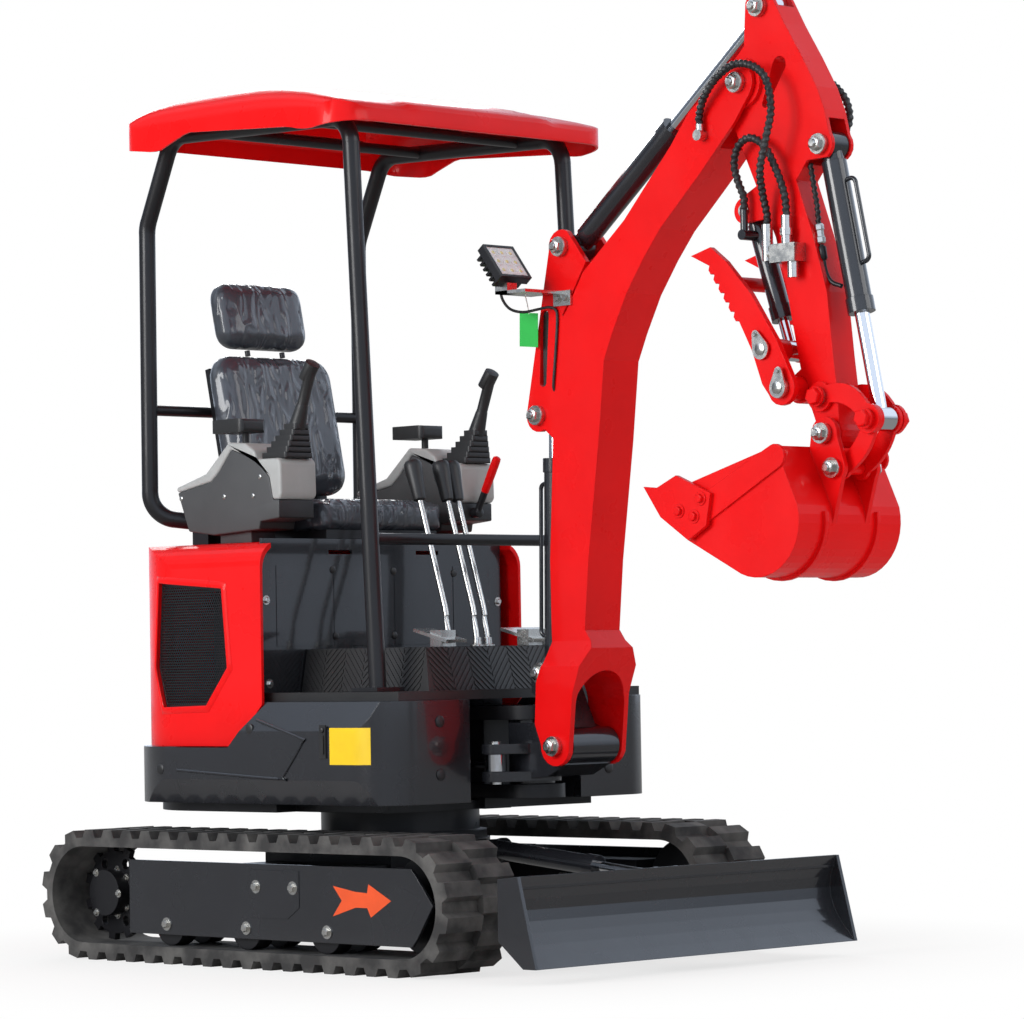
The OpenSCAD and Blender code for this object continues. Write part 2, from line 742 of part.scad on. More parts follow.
// Joysticks with pleated square boots, and the wrist rests behind them
module joysticks() {
  pleats = 6;
  pleat_h = 14;
  function pleat_at(i) = stick_base + [i * 7, i * pleat_h];
  color(dark) both() translate([0, -console_y, 0]) {
    for (i = [0:pleats - 1]) translate([pleat_at(i)[0], 0, pleat_at(i)[1]])
      rounded_slab([boot_w - i * 9, boot_w - i * 9, pleat_h + 0.5], 8);
    aim(pleat_at(pleats) + [-4, -8], stick_top) {
      cylinder(r1 = 22, r2 = 15, h = 60);
      cylinder(r = 14, h = 140);
    }
    aim(stick_top + [-26, -36], stick_top + [6, 6]) cylinder(r = 19, h = 46);
    translate([-212, 0, 1287.3]) cylinder(r = 9, h = 28);
    translate([-240, 0, 1312]) rounded_slab([120, 84, 34], 16);
  }
}
lever_foot_x = 250;
// Travel and blade levers, and the red safety lever on the left console
module control_levers() {
  color(chrome) for (y = [-60, 36, 72]) translate([lever_foot_x, y, floor_z + 0.3]) {
    cylinder(r = 17, h = 10);
    translate([0, 0, 5]) rotate([-3, -18, 0]) {
      cylinder(r = 8, h = 395);
      translate([0, 0, 385]) cylinder(r1 = 15, r2 = 22, h = 95);
    }
  }
  color(red) translate([-25.7, 300, 1112]) {
    rotate([0, 90, 0]) cylinder(r = 13, h = 24);
    translate([14, 0, 0]) rotate([0, 29, 0]) cylinder(r = 9, h = 156);
  }
}
// Folding foot pedals
module pedals() {
  color(zinc) for (y = [-140, 160, 230]) {
    translate([290, y - 24, floor_z + 0.3]) cube([40, 48, 42]);
    translate([240, y - 34, floor_z + 40]) rotate([0, 14, 0]) cube([120, 68, 8]);
  }
}

/* Canopy */
hoop_y = hoop_w / 2;
post_foot = [317, skirt_top + 22.6];
post_top = [250, 2056];
rear_top = [-412, 2072];
rear_knee = [-517, 1850];
rear_foot = [-520, 1112];
// A straight tube between two points in space
module tube(a, b, d) {
  v = b - a;
  translate(a) rotate([0, acos(v[2] / norm(v)), atan2(v[1], v[0])]) cylinder(d = d, h = norm(v));
}
function unit(v) = v / norm(v);
// Distance from a corner to the start of its bend
function bend_back(p, i, r) = let (half = acos(unit(p[i - 1] - p[i]) * unit(p[i + 1] - p[i])) / 2) r / tan(half);
// A tube along the corner points p, with round bends of radius r that its straight lengths seat in
module pipe(p, d, r) {
  last = len(p) - 1;
  seat = 3;
  swell = 0.6;
  for (i = [0:last - 1]) {
    v = unit(p[i + 1] - p[i]);
    start = i == 0 ? p[0] : p[i] + v * (bend_back(p, i, r) - seat);
    end = i == last - 1 ? p[last] : p[i + 1] - v * (bend_back(p, i + 1, r) - seat);
    tube(start, end, d);
  }
  for (i = [1:last - 1]) {
    back = unit(p[i - 1] - p[i]);
    ahead = unit(p[i + 1] - p[i]);
    half = acos(back * ahead) / 2;
    c = p[i] + unit(back + ahead) * r / sin(half);
    x = (p[i] + back * bend_back(p, i, r) - c) / r;
    z = cross(x, -back);
    multmatrix([
      [x[0], -back[0], z[0], c[0]], [x[1], -back[1], z[1], c[1]], [x[2], -back[2], z[2], c[2]], [0, 0, 0, 1]])
      rotate_extrude(angle = 180 - 2 * half) translate([r, 0]) circle(d = d + swell);
  }
}
hoop_bend = 70;
rear_mount = [-410, -hoop_y + 110, 1092];
guard_bar_z = 1030;
rear_bar_z = 1384;
bar_d = 28;
// Cross bars under the roof, and the height of the hoops' top rails at x
roof_bars = [post_top[0] - 150, rear_top[0] + 150];
function rail_z(x) = post_top[1] + (rear_top[1] - post_top[1]) / (rear_top[0] - post_top[0]) * (x - post_top[0]);
// Two tube hoops with the guard bar and the bar behind the seat
module canopy_frame() {
  function in_hoop(q) = [q[0], -hoop_y, q[1]];
  foot_seat = 5;
  color(dark) {
    both() {
      pipe([in_hoop(post_foot + [0, foot_seat]), in_hoop(post_top), in_hoop(rear_top), in_hoop(rear_knee), in_hoop(rear_foot), rear_mount],
        post_d, hoop_bend);
      translate([rear_mount[0] - 40, rear_mount[1] - 30, cover_top + 0.3]) cube([60, 60, rear_mount[2] - cover_top]);
      translate([post_foot[0] - 45, -hoop_y - 45, post_foot[1]]) cube([90, 90, 10]);
    }
    lean = (post_foot[0] - post_top[0]) / (post_top[1] - post_foot[1]);
    bar_x = post_foot[0] - lean * (guard_bar_z - post_foot[1]);
    tube([bar_x, -hoop_y, guard_bar_z], [bar_x, hoop_y, guard_bar_z], bar_d);
    tube([rear_foot[0], -hoop_y, rear_bar_z], [rear_foot[0], hoop_y, rear_bar_z], bar_d);
    for (x = roof_bars) tube([x, -hoop_y, rail_z(x)], [x, hoop_y, rail_z(x)], bar_d);
  }
}
roof_x0 = -516;
roof_x1 = 332;
roof_edge = 2046;
roof_crown = 2176;
// Side view of the roof moulding, inset by d: the rear lobe, the lower edge, and the arch over the top
module roof_side(d) {
  polygon([
    [roof_x0 + d, 2050], [-470, 2034], [-350, 2020], [-328, 2026], [-236, 2058], [165, 2030], [210, 2020], [roof_x1 - d, 2034],
    [roof_x1 - d, 2074 - d], [316, 2094 - d], [247, 2112 - d], [164, 2132 - d], [80, 2148 - d], [-18, 2162 - d],
    [-116, 2170 - d], [-242, 2172 - d], [-330, 2166 - d], [-400, 2154 - d], [-460, 2136 - d], [roof_x0 + d, 2100 - d]
  ]);
}
// Front view of the roof moulding, inset by d
module roof_front(d) {
  half = roof_w / 2 - d;
  rise = roof_crown - d;
  edge = [[half, 2000], [half, rise - 84], [half - 12, rise - 48], [half - 36, rise - 26], [half - 90, rise - 14],
    [half - 220, rise - 5]];
  polygon(concat(edge, [[0, rise]], [for (i = [5:-1:0]) [-edge[i][0], edge[i][1]]]));
}
module roof_block(d) {
  corner = 90;
  intersection() {
    translate([0, 0, roof_edge - 60]) linear_extrude(240) {
      translate([roof_x0 + d, -roof_w / 2 + corner]) square([roof_x1 - roof_x0 - 2 * d, roof_w - 2 * corner]);
      translate([roof_x0 + corner, -roof_w / 2 + d]) square([roof_x1 - roof_x0 - 2 * corner, roof_w - 2 * d]);
      for (x = [roof_x0 + corner, roof_x1 - corner], s = [-1, 1])
        translate([x, s * (roof_w / 2 - corner)]) circle(corner - d);
    }
    across(roof_w + 20) roof_side(d);
    translate([-800, 0, 0]) rotate([90, 0, 90]) linear_extrude(1600) roof_front(d);
  }
}
// Hollow roof moulding with the ribs that rest on the canopy's cross bars
module roof() {
  rib_w = 300;
  rib_t = 30;
  color(red) {
    difference() {
      roof_block(0);
      for (drop = [roof_t, 40, 80]) translate([0, 0, -drop]) roof_block(roof_t);
    }
    for (x = roof_bars) {
      rib_z = rail_z(x) + bar_d / 2 + 0.3;
      intersection() {
        roof_block(0);
        translate([x - rib_t / 2, -rib_w / 2, rib_z]) cube([rib_t, rib_w, roof_crown - rib_z]);
      }
    }
  }
}

/* Swing post and its cylinder */
swing_ram_rest = gap_between(swing_ram_base, swing_ram_eye);
swing_barrel_l = 350;
// Children drawn along +Z are laid from the swing cylinder's base towards its eye
module aim_swing() {
  turn = atan2(swing_ram_eye[1] - swing_ram_base[1], swing_ram_eye[0] - swing_ram_base[0]);
  translate([swing_ram_base[0], swing_ram_base[1], swing_eye_z]) rotate([0, 0, turn]) rotate([90, 0, 0]) rotate([0, 90, 0])
    children();
}
module swing_barrel() {
  color(black) aim_swing() barrel(small_barrel_r, small_rod_r, 26, swing_eye_w, link_pin_r, swing_barrel_l);
  color(zinc) translate([swing_ram_base[0], swing_ram_base[1], ring_z1 + deck_t + 8])
    cylinder(r = link_pin_r, h = swing_eye_z + swing_eye_w / 2 + 8 - ring_z1 - deck_t - 8);
}
module swing_rod() {
  color(chrome) aim_swing() translate([0, 0, swing_ram_rest])
    rod(small_rod_r, small_barrel_r - 5, 26, swing_eye_w, link_pin_r, 336);
}

bracket_w = boom_foot_w - 2 * boom_plate_t - 2 * side_gap - 8;
ram_eye_w = 58;
// Swing bracket with its post, the boom's foot boss and the lugs of the boom cylinder
module swing_bracket() {
  post_body_r = 56;
  body_z0 = lower_lug_z + lug_plate_t + 1;
  body_z1 = upper_lug_z - 1;
  color(black) difference() {
    union() {
      translate([swing_axis[0], swing_axis[1], lower_lug_z]) cylinder(r = post_r, h = upper_lug_z + lug_plate_t - lower_lug_z);
      translate([swing_axis[0], swing_axis[1], body_z0]) cylinder(r = post_body_r, h = body_z1 - body_z0);
      across(bracket_w) polygon([
        [swing_axis[0], body_z0 + 8], [600, 452], [660, 480], [646, 560], [600, body_z1 - 6], [swing_axis[0], body_z1 - 6]]);
      disc(foot, 44, bracket_w);
      across(110) polygon([[560, 570], [640, 560], [574, 700], [526, 700], [528, 652], [560, 632]]);
      disc(boom_ram_base, 27, 110);
      for (z = [swing_lever_z, swing_lever_z + swing_eye_w + swing_lever_t + 2 * side_gap]) translate([0, 0, z])
        linear_extrude(swing_lever_t) strap([swing_ram_eye[0], swing_ram_eye[1]], 34, [520, -20], 50);
    }
    disc(foot, pin_r + pin_gap, 300);
    disc(boom_ram_base, pin_r + pin_gap, 300);
    across(ram_eye_w + 2 * side_gap) translate(boom_ram_base) circle(64);
    across(ram_eye_w + 2 * side_gap) translate(boom_ram_base + [-70, -20]) square([140, 140]);
    translate([swing_ram_eye[0], swing_ram_eye[1], 380]) cylinder(r = link_pin_r + pin_gap, h = 300);
  }
}
// Pins of the boom cylinder's base and the swing cylinder's eye
module bracket_pins() {
  color(zinc) {
    disc(boom_ram_base, pin_r, 122);
    both() disc(boom_ram_base, 26, 6, 58);
    for (z = [swing_lever_z - 6, swing_lever_z + swing_eye_w + swing_lever_t + 2 * side_gap])
      translate([swing_ram_eye[0], swing_ram_eye[1], z]) cylinder(r = link_pin_r, h = swing_lever_t + 6);
  }
}

/* Boom */
boom_ram_rest = gap_between(boom_ram_base, boom_ram_eye);
fork_in = boom_w - 20;
// Side view of the boom, from the foot up its back and down its front
module boom_side() {
  polygon(concat(
    [[606, 715], [604, 800], [603, 971], [620, 1259], [628, 1440]],
    arc([760, 1470], 131, 176, 132, 4),
    [[730, 1656], [868, 1768], [1024, 1931], [1080, 2000]],
    arc(tip, 46, 130, -35, 6),
    [[1223, 1963], [1113, 1855], [984, 1738], [929, 1673], [872, 1595], [824, 1506], [794, 1441], [772, 1252], [731, 968],
     [713, 780], [728, 715]]));
}
module boom_cheeks() {
  polygon(concat(
    [[606, 790], [606, 723], [585, 678], [579, 577]], arc(foot, 48, 175, 340, 8), [[706, 649], [747, 758], [716, 800]]));
}
// Front view of the boom's foot: a box that widens into a fork with a round arch
module boom_fork_front() {
  half = boom_foot_w / 2;
  inner = half - boom_plate_t;
  difference() {
    polygon([
      [-half, 440], [-half, 716], [-boom_w / 2, 776], [-boom_w / 2, 830], [boom_w / 2, 830], [boom_w / 2, 776], [half, 716],
      [half, 440]]);
    translate([-inner, 430]) square([2 * inner, 620 - 430]);
    translate([0, 620]) circle(inner);
  }
}
// Lug plates behind the boom for its two upper cylinder pins
module boom_lugs() {
  difference() {
    polygon(concat(
      arc(arm_ram_base, 42, 190, 60, 6), [[740, 1680], [660, 1560], [640, 1300], [622, 1262]],
      arc(boom_ram_eye, 40, 300, 176, 6)));
    strap([590, 1400], 11, [600, 1560], 13);
  }
}
module boom() {
  fork_r = 158;
  color(red) difference() {
    union() {
      across(boom_w) boom_side();
      intersection() {
        across(boom_foot_w) boom_cheeks();
        translate([500, 0, 0]) rotate([90, 0, 90]) linear_extrude(300) boom_fork_front();
      }
      both() across(boom_plate_t, boom_w / 2 - boom_plate_t / 2) boom_lugs();
    }
    disc(tip, fork_r, fork_in);
    disc(arm_ram_base, 78, boom_w - 2 * boom_plate_t);
    disc(foot, pin_r + 0.05, 300);
    disc(tip, pin_r + 0.05, 300);
    disc(arm_ram_base, pin_r + 0.05, 300);
    disc(boom_ram_eye, pin_r + 0.05, 300);
  }
}
nut_r = 24;
// Fitting of the hose on the boom's right side, as [x, z]
boom_port = [1128, 1968];
port_out = 14;
// Foot, tip and cylinder pins of the boom with their nuts, and the hose's fitting
module boom_pins() {
  color(zinc) {
    disc(boom_port - [0, 26], 13, port_out + 10, -boom_w / 2 - (port_out + 10) / 2 - 0.3);
    translate([boom_port[0], -boom_w / 2 - port_out, boom_port[1] - 30]) cylinder(r = 9, h = 29.7);
    for (p = [[foot, boom_foot_w], [tip, boom_w], [arm_ram_base, boom_w]]) {
      disc(p[0], pin_r, p[1] + 12);
      both() disc(p[0], nut_r, 12, p[1] / 2 + 6);
    }
    both() {
      disc(boom_ram_eye, pin_r, boom_plate_t + 12, boom_w / 2 - boom_plate_t / 2 + 6);
      disc(boom_ram_eye, nut_r, 12, boom_w / 2 + 6);
    }
  }
}
boom_barrel_l = 520;
module boom_barrel() {
  color(black) aim(boom_ram_base, boom_ram_eye) {
    barrel(barrel_r, rod_r, 32, ram_eye_w, pin_r, boom_barrel_l);
    barrel_line(barrel_r, 90, boom_barrel_l - 60);
  }
}
module boom_rod() {
  color(chrome) aim(boom_ram_base, boom_ram_eye) translate([0, 0, boom_ram_rest])
    rod(rod_r, barrel_r - 5, 32, ram_eye_w, pin_r, 480);
}
lamp_c = [580, -167, 1686];
lamp_w = 102;
lamp_tilt = 38;
// Square work lamp on its bent bracket beside the boom
module work_light() {
  arm_z = 1609;
  color(dark) translate(lamp_c) rotate([0, -lamp_tilt, 0]) {
    translate([-20, -lamp_w / 2, -lamp_w / 2]) cube([20, lamp_w, lamp_w]);
    for (z = [-40:16:40]) translate([-42, -lamp_w / 2 + 8, z - 4]) cube([23, lamp_w - 16, 6]);
  }
  color(zinc) {
    translate([lamp_c[0] - 24, lamp_c[1] - 16, arm_z]) cube([40, 32, lamp_c[2] - lamp_w / 2 - arm_z + 16]);
    translate([lamp_c[0] - 24, lamp_c[1] - 16, arm_z]) cube([100, -boom_w / 2 - 0.3 - lamp_c[1] + 16, 6]);
    translate([lamp_c[0] + 56, -boom_w / 2 - 6.3, arm_z - 29]) cube([56, 6, 35]);
  }
}

/* Arm */
arm_ram_rest = gap_between(arm_ram_base, arm_ram_eye);
arm_eye_w = 52;
// Quick coupler of the auxiliary circuit
coupler_r = 13;
coupler_l = 36;
arm_boss_w = fork_in - 2 * side_gap;
bucket_boss_w = 100;
// Side view of the arm with its horn, cylinder lug and beam
module arm_side() {
  polygon(concat(
    arc(arm_ram_eye, 44, 190, 20, 6),
    [[1363, 2179], [1413, 2099], [1456, 2024], [1478, 1969]],
    arc(bucket_ram_base, 36, 40, -60, 5),
    [[1424, 1858], [1390, 1816], [1436, 1690], [1475, 1555], [1490, 1410], [1500, 1330]],
    arc(bucket_pin, 32, 40, -170, 8),
    [[1400, 1350], [1387, 1410], [1358, 1555], [1325, 1690], [1225, 1908], [1190, 1985]],
    arc(tip, 62, 200, 130, 4),
    [[1238, 2140]]));
}
module arm() {
  slot_w = arm_eye_w + 2 * side_gap;
  color(red) difference() {
    union() {
      across(arm_w) arm_side();
      disc(tip, 58, arm_boss_w);
      disc(bucket_pin, 30, bucket_boss_w);
      across(arm_w) strap(thumb_pin, 34, [1430, 1360], 40);
      both() across(10, 32) strap(thumb_ram_base, 30, [1300, 1780], 44);
    }
    across(slot_w) translate(bucket_ram_base) circle(62);
    across(slot_w) translate(arm_ram_eye) polygon([
      [-56, 139], [50, 139], [50, -40], [36, -78], [10, -96], [-40, -96], [-91, -123], [-112, -100], [-150, 0]]);
    across(200) strap([1345, 2085], 20, [1300, 2000], 9);
    disc(tip, pin_r + pin_gap, 300);
    for (p = [arm_ram_eye, bucket_ram_base, bucket_pin]) disc(p, pin_r + 0.05, 300);
    for (p = [rocker_pin, thumb_pin, thumb_ram_base]) disc(p, link_pin_r + 0.05, 300);
  }
}
rocker_t = 10;
rocker_y = arm_w / 2 + side_gap + rocker_t / 2;
ear_t = 12;
ear_y = 50.5 + ear_t / 2;
thumb_y = thumb_w / 2 - thumb_t / 2;
// Pins carried by the arm, with their nuts
module arm_pins() {
  color(zinc) {
    disc(bucket_ram_base, pin_r, arm_w + 12);
    both() disc(bucket_ram_base, nut_r, 10, arm_w / 2 + 5);
    disc(bucket_pin, pin_r, 2 * ear_y + ear_t + 12);
    both() disc(bucket_pin, nut_r, 12, ear_y + ear_t / 2 + 8);
    disc(rocker_pin, link_pin_r, 2 * rocker_y + rocker_t + 10);
    both() disc(rocker_pin, 22, 10, rocker_y + rocker_t / 2 + 7);
    disc(thumb_pin, link_pin_r, thumb_w + 10);
    both() disc(thumb_pin, 24, 8, thumb_w / 2 + 6);
    disc(thumb_ram_base, link_pin_r, arm_w + 6);
    both() {
      disc(arm_ram_eye, pin_r, 22, arm_w / 2 + 1);
      disc(arm_ram_eye, nut_r, 10, arm_w / 2 + 5);
    }
  }
}
block_x = 1339;
block_w = 76;
block_z = 1628;
block_h = 42;
block_y = -arm_w / 2 - 20.3;
arm_ports = [[1325, 2060], [1377, 1906]];
arm_port_out = 22;
supply_x = block_x - 22;
thumb_port_x = block_x + 36;
// Valve block with its fittings and quick coupler on the arm's right side
module hydraulic_block() {
  fitting_r = 12;
  color(zinc) {
    translate([block_x, block_y - 20, block_z]) cube([block_w, 40, block_h]);
    translate([supply_x, block_y, block_z + block_h / 2]) rotate([0, 90, 0]) cylinder(r = fitting_r, h = 30);
    translate([supply_x, block_y, block_z + block_h / 2 - 14]) cylinder(r = fitting_r + 1, h = 84);
    translate([thumb_port_x, block_y, block_z + block_h - 1]) cylinder(r = fitting_r, h = 66);
    translate([thumb_port_x, block_y, block_z + block_h + 20]) cylinder(r = fitting_r + 3, h = 16);
    translate([block_x + 54, block_y, block_z - coupler_l]) cylinder(r = coupler_r, h = coupler_l + 1);
    for (q = arm_ports) {
      disc(q, 13, 34, arm_w / 2 + 17.3);
      translate([q[0], arm_w / 2 + arm_port_out, q[1]]) rotate([0, 90, 0]) cylinder(r = 9, h = 26);
    }
  }
}
supply_top = block_z + block_h / 2 + 70;
thumb_port_top = block_z + block_h + 65;
module arm_barrel() {
  color(black) aim(arm_ram_base, arm_ram_eye) barrel(barrel_r, rod_r, 32, arm_eye_w, pin_r, 413);
}
module arm_rod() {
  color(chrome) aim(arm_ram_base, arm_ram_eye) translate([0, 0, arm_ram_rest])
    rod(rod_r, barrel_r - 5, 32, arm_eye_w, pin_r, 468);
}

/* Bucket linkage */
bucket_ram_rest = gap_between(bucket_ram_base, linkage_pin);
link_t = 10;
link_y = arm_w / 2 - link_t / 2;
link_eye_w = 2 * (link_y - link_t / 2 - side_gap);
bucket_barrel_l = 396;
module bucket_barrel() {
  color(black) aim(bucket_ram_base, linkage_pin) {
    barrel(barrel_r, rod_r, 32, arm_eye_w, pin_r, bucket_barrel_l);
    barrel_line(barrel_r, 90, bucket_barrel_l - 110);
  }
}
module bucket_rod() {
  color(chrome) aim(bucket_ram_base, linkage_pin) translate([0, 0, bucket_ram_rest])
    rod(rod_r, barrel_r - 5, 28, link_eye_w, pin_r, 410);
}
module rocker() {
  color(red) both() difference() {
    union() {
      across(rocker_t, rocker_y) bow(rocker_pin, 34, linkage_pin, 34, 46, 30);
      disc(linkage_pin, 20, 12, rocker_y + rocker_t / 2 + 6);
    }
    disc(rocker_pin, link_pin_r + pin_gap, 300);
  }
}
module bucket_link() {
  color(red) both() across(link_t, link_y) difference() {
    bow(linkage_pin, 32, ear_pin, 26, 44, 16);
    translate(ear_pin) circle(link_pin_r + pin_gap);
    translate(linkage_pin) circle(link_pin_r);
  }
}

/* Bucket */
heel_c = [1372, 1037];
heel_r = 128;
// Outline of the bucket, inset by d, from its upper edge round the heel to its lip
function bucket_outline(d) = concat(
  [[1433 - d * 0.9, 1204 + d]],
  arc(heel_c, heel_r - d, 14, -112, 14),
  [[1162 + d * 0.4, 1000 + d], [1052, 1098 + d]]);
// Bolted side cutter at each corner of the lip
cutter = [[1041, 1127], [1093, 1055], [1178, 999], [1234, 1031], [1249, 1104], [1143, 1149], [1083, 1123]];
cutter_t = 12;
module bucket() {
  half = bucket_w / 2;
  strip_t = 6;
  color(red) difference() {
    union() {
      difference() {
        across(bucket_w) polygon(bucket_outline(0));
        across(bucket_w - 2 * bucket_t) polygon(concat(bucket_outline(bucket_t), [[1040, 1140], [1400, 1230]]));
      }
      both() across(ear_t, ear_y) polygon(concat(
        arc(bucket_pin, 38, 170, -10, 8), arc(ear_pin, 32, 20, -40, 4), [[1491, 1000], [1476, 1040], [1446, 1150], [1436, 1200]]));
      disc([1415, 1180], 20, bucket_w - 2);
      both() across(strip_t + 2, half + strip_t / 2 - 1)
        polygon(concat([[1230, 1040], [1190, 1092]], arc([1436, 1180], 28, 118, -52, 8)));
      both() across(cutter_t, half + strip_t + cutter_t / 2 - 1) polygon(cutter);
      both() across(10, 90)
        polygon(concat(arc(heel_c, heel_r + 8, 8, -110, 12), arc(heel_c, heel_r - 2, -110, 8, 12)));
    }
    disc(bucket_pin, pin_r + pin_gap, 300);
    disc(bucket_pin, 36, bucket_boss_w + 1);
    disc(ear_pin, link_pin_r + 0.05, 300);
  }
  color(zinc) {
    disc(ear_pin, link_pin_r, 2 * ear_y + ear_t + 8);
    both() disc(ear_pin, 22, 10, ear_y + ear_t / 2 + 5);
  }
}

/* Thumb */
// Port of the thumb cylinder, and the distance of its hose from the middle plane
thumb_port = thumb_ram_base + 62 * unit(thumb_ram_eye - thumb_ram_base);
thumb_port_h = 58;
thumb_hose_y = 58;
thumb_ram_rest = gap_between(thumb_ram_base, thumb_ram_eye);
thumb_eye_w = 44;
thumb_teeth = 6;
tooth_from = [1174, 1633];
tooth_to = [1264, 1497];
// Side view of the thumb with its toothed inner edge
module thumb_side() {
  along = (tooth_to - tooth_from) / thumb_teeth;
  out = [along[1], -along[0]] / norm(along);
  polygon(concat(
    [[1117, 1660]],
    [for (i = [0:thumb_teeth - 1], k = [[0, 0], [0.25, 8], [0.7, 8], [0.85, 0]]) tooth_from + along * (i + k[0]) + out * k[1]],
    [[1300, 1430], [1330, 1350]], arc(thumb_pin, 40, 200, 380, 8), [[1375, 1450], [1300, 1560], [1225, 1640], [1178, 1676]]));
}
module thumb() {
  color(red) difference() {
    union() {
      both() across(thumb_t, thumb_y) thumb_side();
      disc([1225, 1590], 16, thumb_w - 10);
      both() disc(thumb_pin, 28, thumb_w / 2 - arm_w / 2 - side_gap - 2, (thumb_w / 2 + arm_w / 2 + side_gap - 2) / 2);
      both() disc(thumb_ram_eye, 26, 66, 58);
    }
    disc(thumb_pin, link_pin_r + pin_gap, 300);
    disc(thumb_ram_eye, link_pin_r, 300);
  }
  color(zinc) both() disc(thumb_ram_eye, link_pin_r - 0.3, 80, 65);
}
module thumb_barrel() {
  color(black) aim(thumb_ram_base, thumb_ram_eye) barrel(small_barrel_r, small_rod_r, 24, thumb_eye_w, link_pin_r, 270);
  color(zinc) translate([thumb_port[0], 0, thumb_port[1]]) {
    rotate([90, 0, 0]) translate([0, 0, small_barrel_r - 4]) cylinder(r = 12, h = thumb_hose_y - small_barrel_r + 14);
    translate([0, -thumb_hose_y, 0]) cylinder(r = 9, h = thumb_port_h);
  }
}
module thumb_rod() {
  color(chrome) aim(thumb_ram_base, thumb_ram_eye) translate([0, 0, thumb_ram_rest])
    rod(small_rod_r, small_barrel_r - 5, 24, thumb_eye_w, link_pin_r, 245);
}

/* Hoses */
hose_seat = 0.3;
// Hose from the boom's side over its tip to the valve block
module boom_arm_hose() {
  color(dark) hose([
    [boom_port[0], -boom_w / 2 - port_out, boom_port[1]],
    [boom_port[0], -boom_w / 2 - port_out, boom_port[1] + 20], [1151, -84, 2024], [1193, -90, 2063],
    [1252, -92, 2091], [1314, -94, 2081], [1358, -98, 2044], [1374, -102, 1974], [1358, -104, 1907], [1334, -98, 1841],
    [1319, -74, 1790], [supply_x, block_y, supply_top + 24], [supply_x, block_y, supply_top + hose_seat]
  ]);
}
// Hose from the valve block over to the thumb cylinder's port
module thumb_hose() {
  color(dark) hose([
    [thumb_port_x, block_y, thumb_port_top + hose_seat], [thumb_port_x, block_y, thumb_port_top + 24], [1371, -62, 1796], [1354, -68, 1846], [1330, -70, 1890],
    [1300, -70, 1915], [1268, -68, 1921], [1238, -66, 1903], [1224, -63, 1866], [1232, -60, 1826],
    [thumb_port[0], -thumb_hose_y, thumb_port[1] + thumb_port_h + 30],
    [thumb_port[0], -thumb_hose_y, thumb_port[1] + thumb_port_h + hose_seat]
  ]);
}
// Hose that loops out on the arm's left side
module arm_hose() {
  color(dark) hose([
    [arm_ports[0][0] + 26.3, arm_w / 2 + arm_port_out, arm_ports[0][1]],
    [arm_ports[0][0] + 46, arm_w / 2 + arm_port_out, arm_ports[0][1]], [1392, arm_w / 2 + 25, 2054], [1424, arm_w / 2 + 27, 2036], [1454, arm_w / 2 + 27, 2004],
    [1466, arm_w / 2 + 27, 1970], [1462, arm_w / 2 + 26, 1940], [1440, arm_w / 2 + 24, 1917],
    [arm_ports[1][0] + 46, arm_w / 2 + arm_port_out, arm_ports[1][1]],
    [arm_ports[1][0] + 26.3, arm_w / 2 + arm_port_out, arm_ports[1][1]]
  ]);
}

track_frame();
track_guards();
track_wheels();
track_right();
track_left();
slew_ring();
dozer_blade();
blade_pins();
blade_barrel();
blade_rod();
deck_frame();
counterweight();
side_skirts();
side_covers();
side_grilles();
rear_hood();
bulkhead();
engine();
floor_mat();
seat_base();
seat_cushion();
seat_back();
headrest();
consoles();
console_trim();
joysticks();
control_levers();
pedals();
canopy_frame();
roof();
swing_barrel();
swing_rod();
swing_bracket();
bracket_pins();
boom();
boom_pins();
boom_barrel();
boom_rod();
work_light();
arm();
arm_pins();
hydraulic_block();
arm_barrel();
arm_rod();
bucket_barrel();
bucket_rod();
rocker();
bucket_link();
bucket();
thumb();
thumb_barrel();
thumb_rod();
boom_arm_hose();
thumb_hose();
arm_hose();
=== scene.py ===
"""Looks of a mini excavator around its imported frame: camera, light, materials and small detail."""
import json
import math

import bmesh
import bpy
import numpy as np
from mathutils import Matrix, Vector


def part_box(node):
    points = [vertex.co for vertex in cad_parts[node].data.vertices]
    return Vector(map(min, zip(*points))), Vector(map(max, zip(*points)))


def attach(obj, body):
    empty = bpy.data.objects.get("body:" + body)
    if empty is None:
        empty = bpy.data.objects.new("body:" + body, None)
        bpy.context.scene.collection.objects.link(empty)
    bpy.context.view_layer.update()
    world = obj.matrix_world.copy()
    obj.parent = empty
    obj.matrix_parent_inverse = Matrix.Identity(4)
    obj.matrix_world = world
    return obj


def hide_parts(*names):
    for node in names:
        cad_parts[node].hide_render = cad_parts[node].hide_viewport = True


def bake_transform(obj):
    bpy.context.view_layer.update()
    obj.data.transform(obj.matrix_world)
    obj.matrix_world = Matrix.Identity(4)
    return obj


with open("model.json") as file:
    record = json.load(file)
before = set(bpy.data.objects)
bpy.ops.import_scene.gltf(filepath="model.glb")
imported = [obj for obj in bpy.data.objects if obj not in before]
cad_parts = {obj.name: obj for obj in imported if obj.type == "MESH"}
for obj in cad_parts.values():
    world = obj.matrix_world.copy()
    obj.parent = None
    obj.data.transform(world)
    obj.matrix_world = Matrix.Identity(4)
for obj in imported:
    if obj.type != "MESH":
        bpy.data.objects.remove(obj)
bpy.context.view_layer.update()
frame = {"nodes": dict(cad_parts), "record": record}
NODES = frame["nodes"]
PI = math.pi


def new_object(name, data):
    """An object in the scene."""
    obj = bpy.data.objects.new(name, data)
    bpy.context.scene.collection.objects.link(obj)
    return obj


# Camera at the photograph's viewing angle

CAM_TURN = math.radians(45.074)
CAM_PITCH = math.radians(2.0317)
CAM_ROLL = math.radians(-0.9974)
CAM_DISTANCE = 10.1841
CAM_TARGET = Vector((0.4160, 0.0, 1.1005))
CAM_LENS = 146.316
SENSOR = 36.0


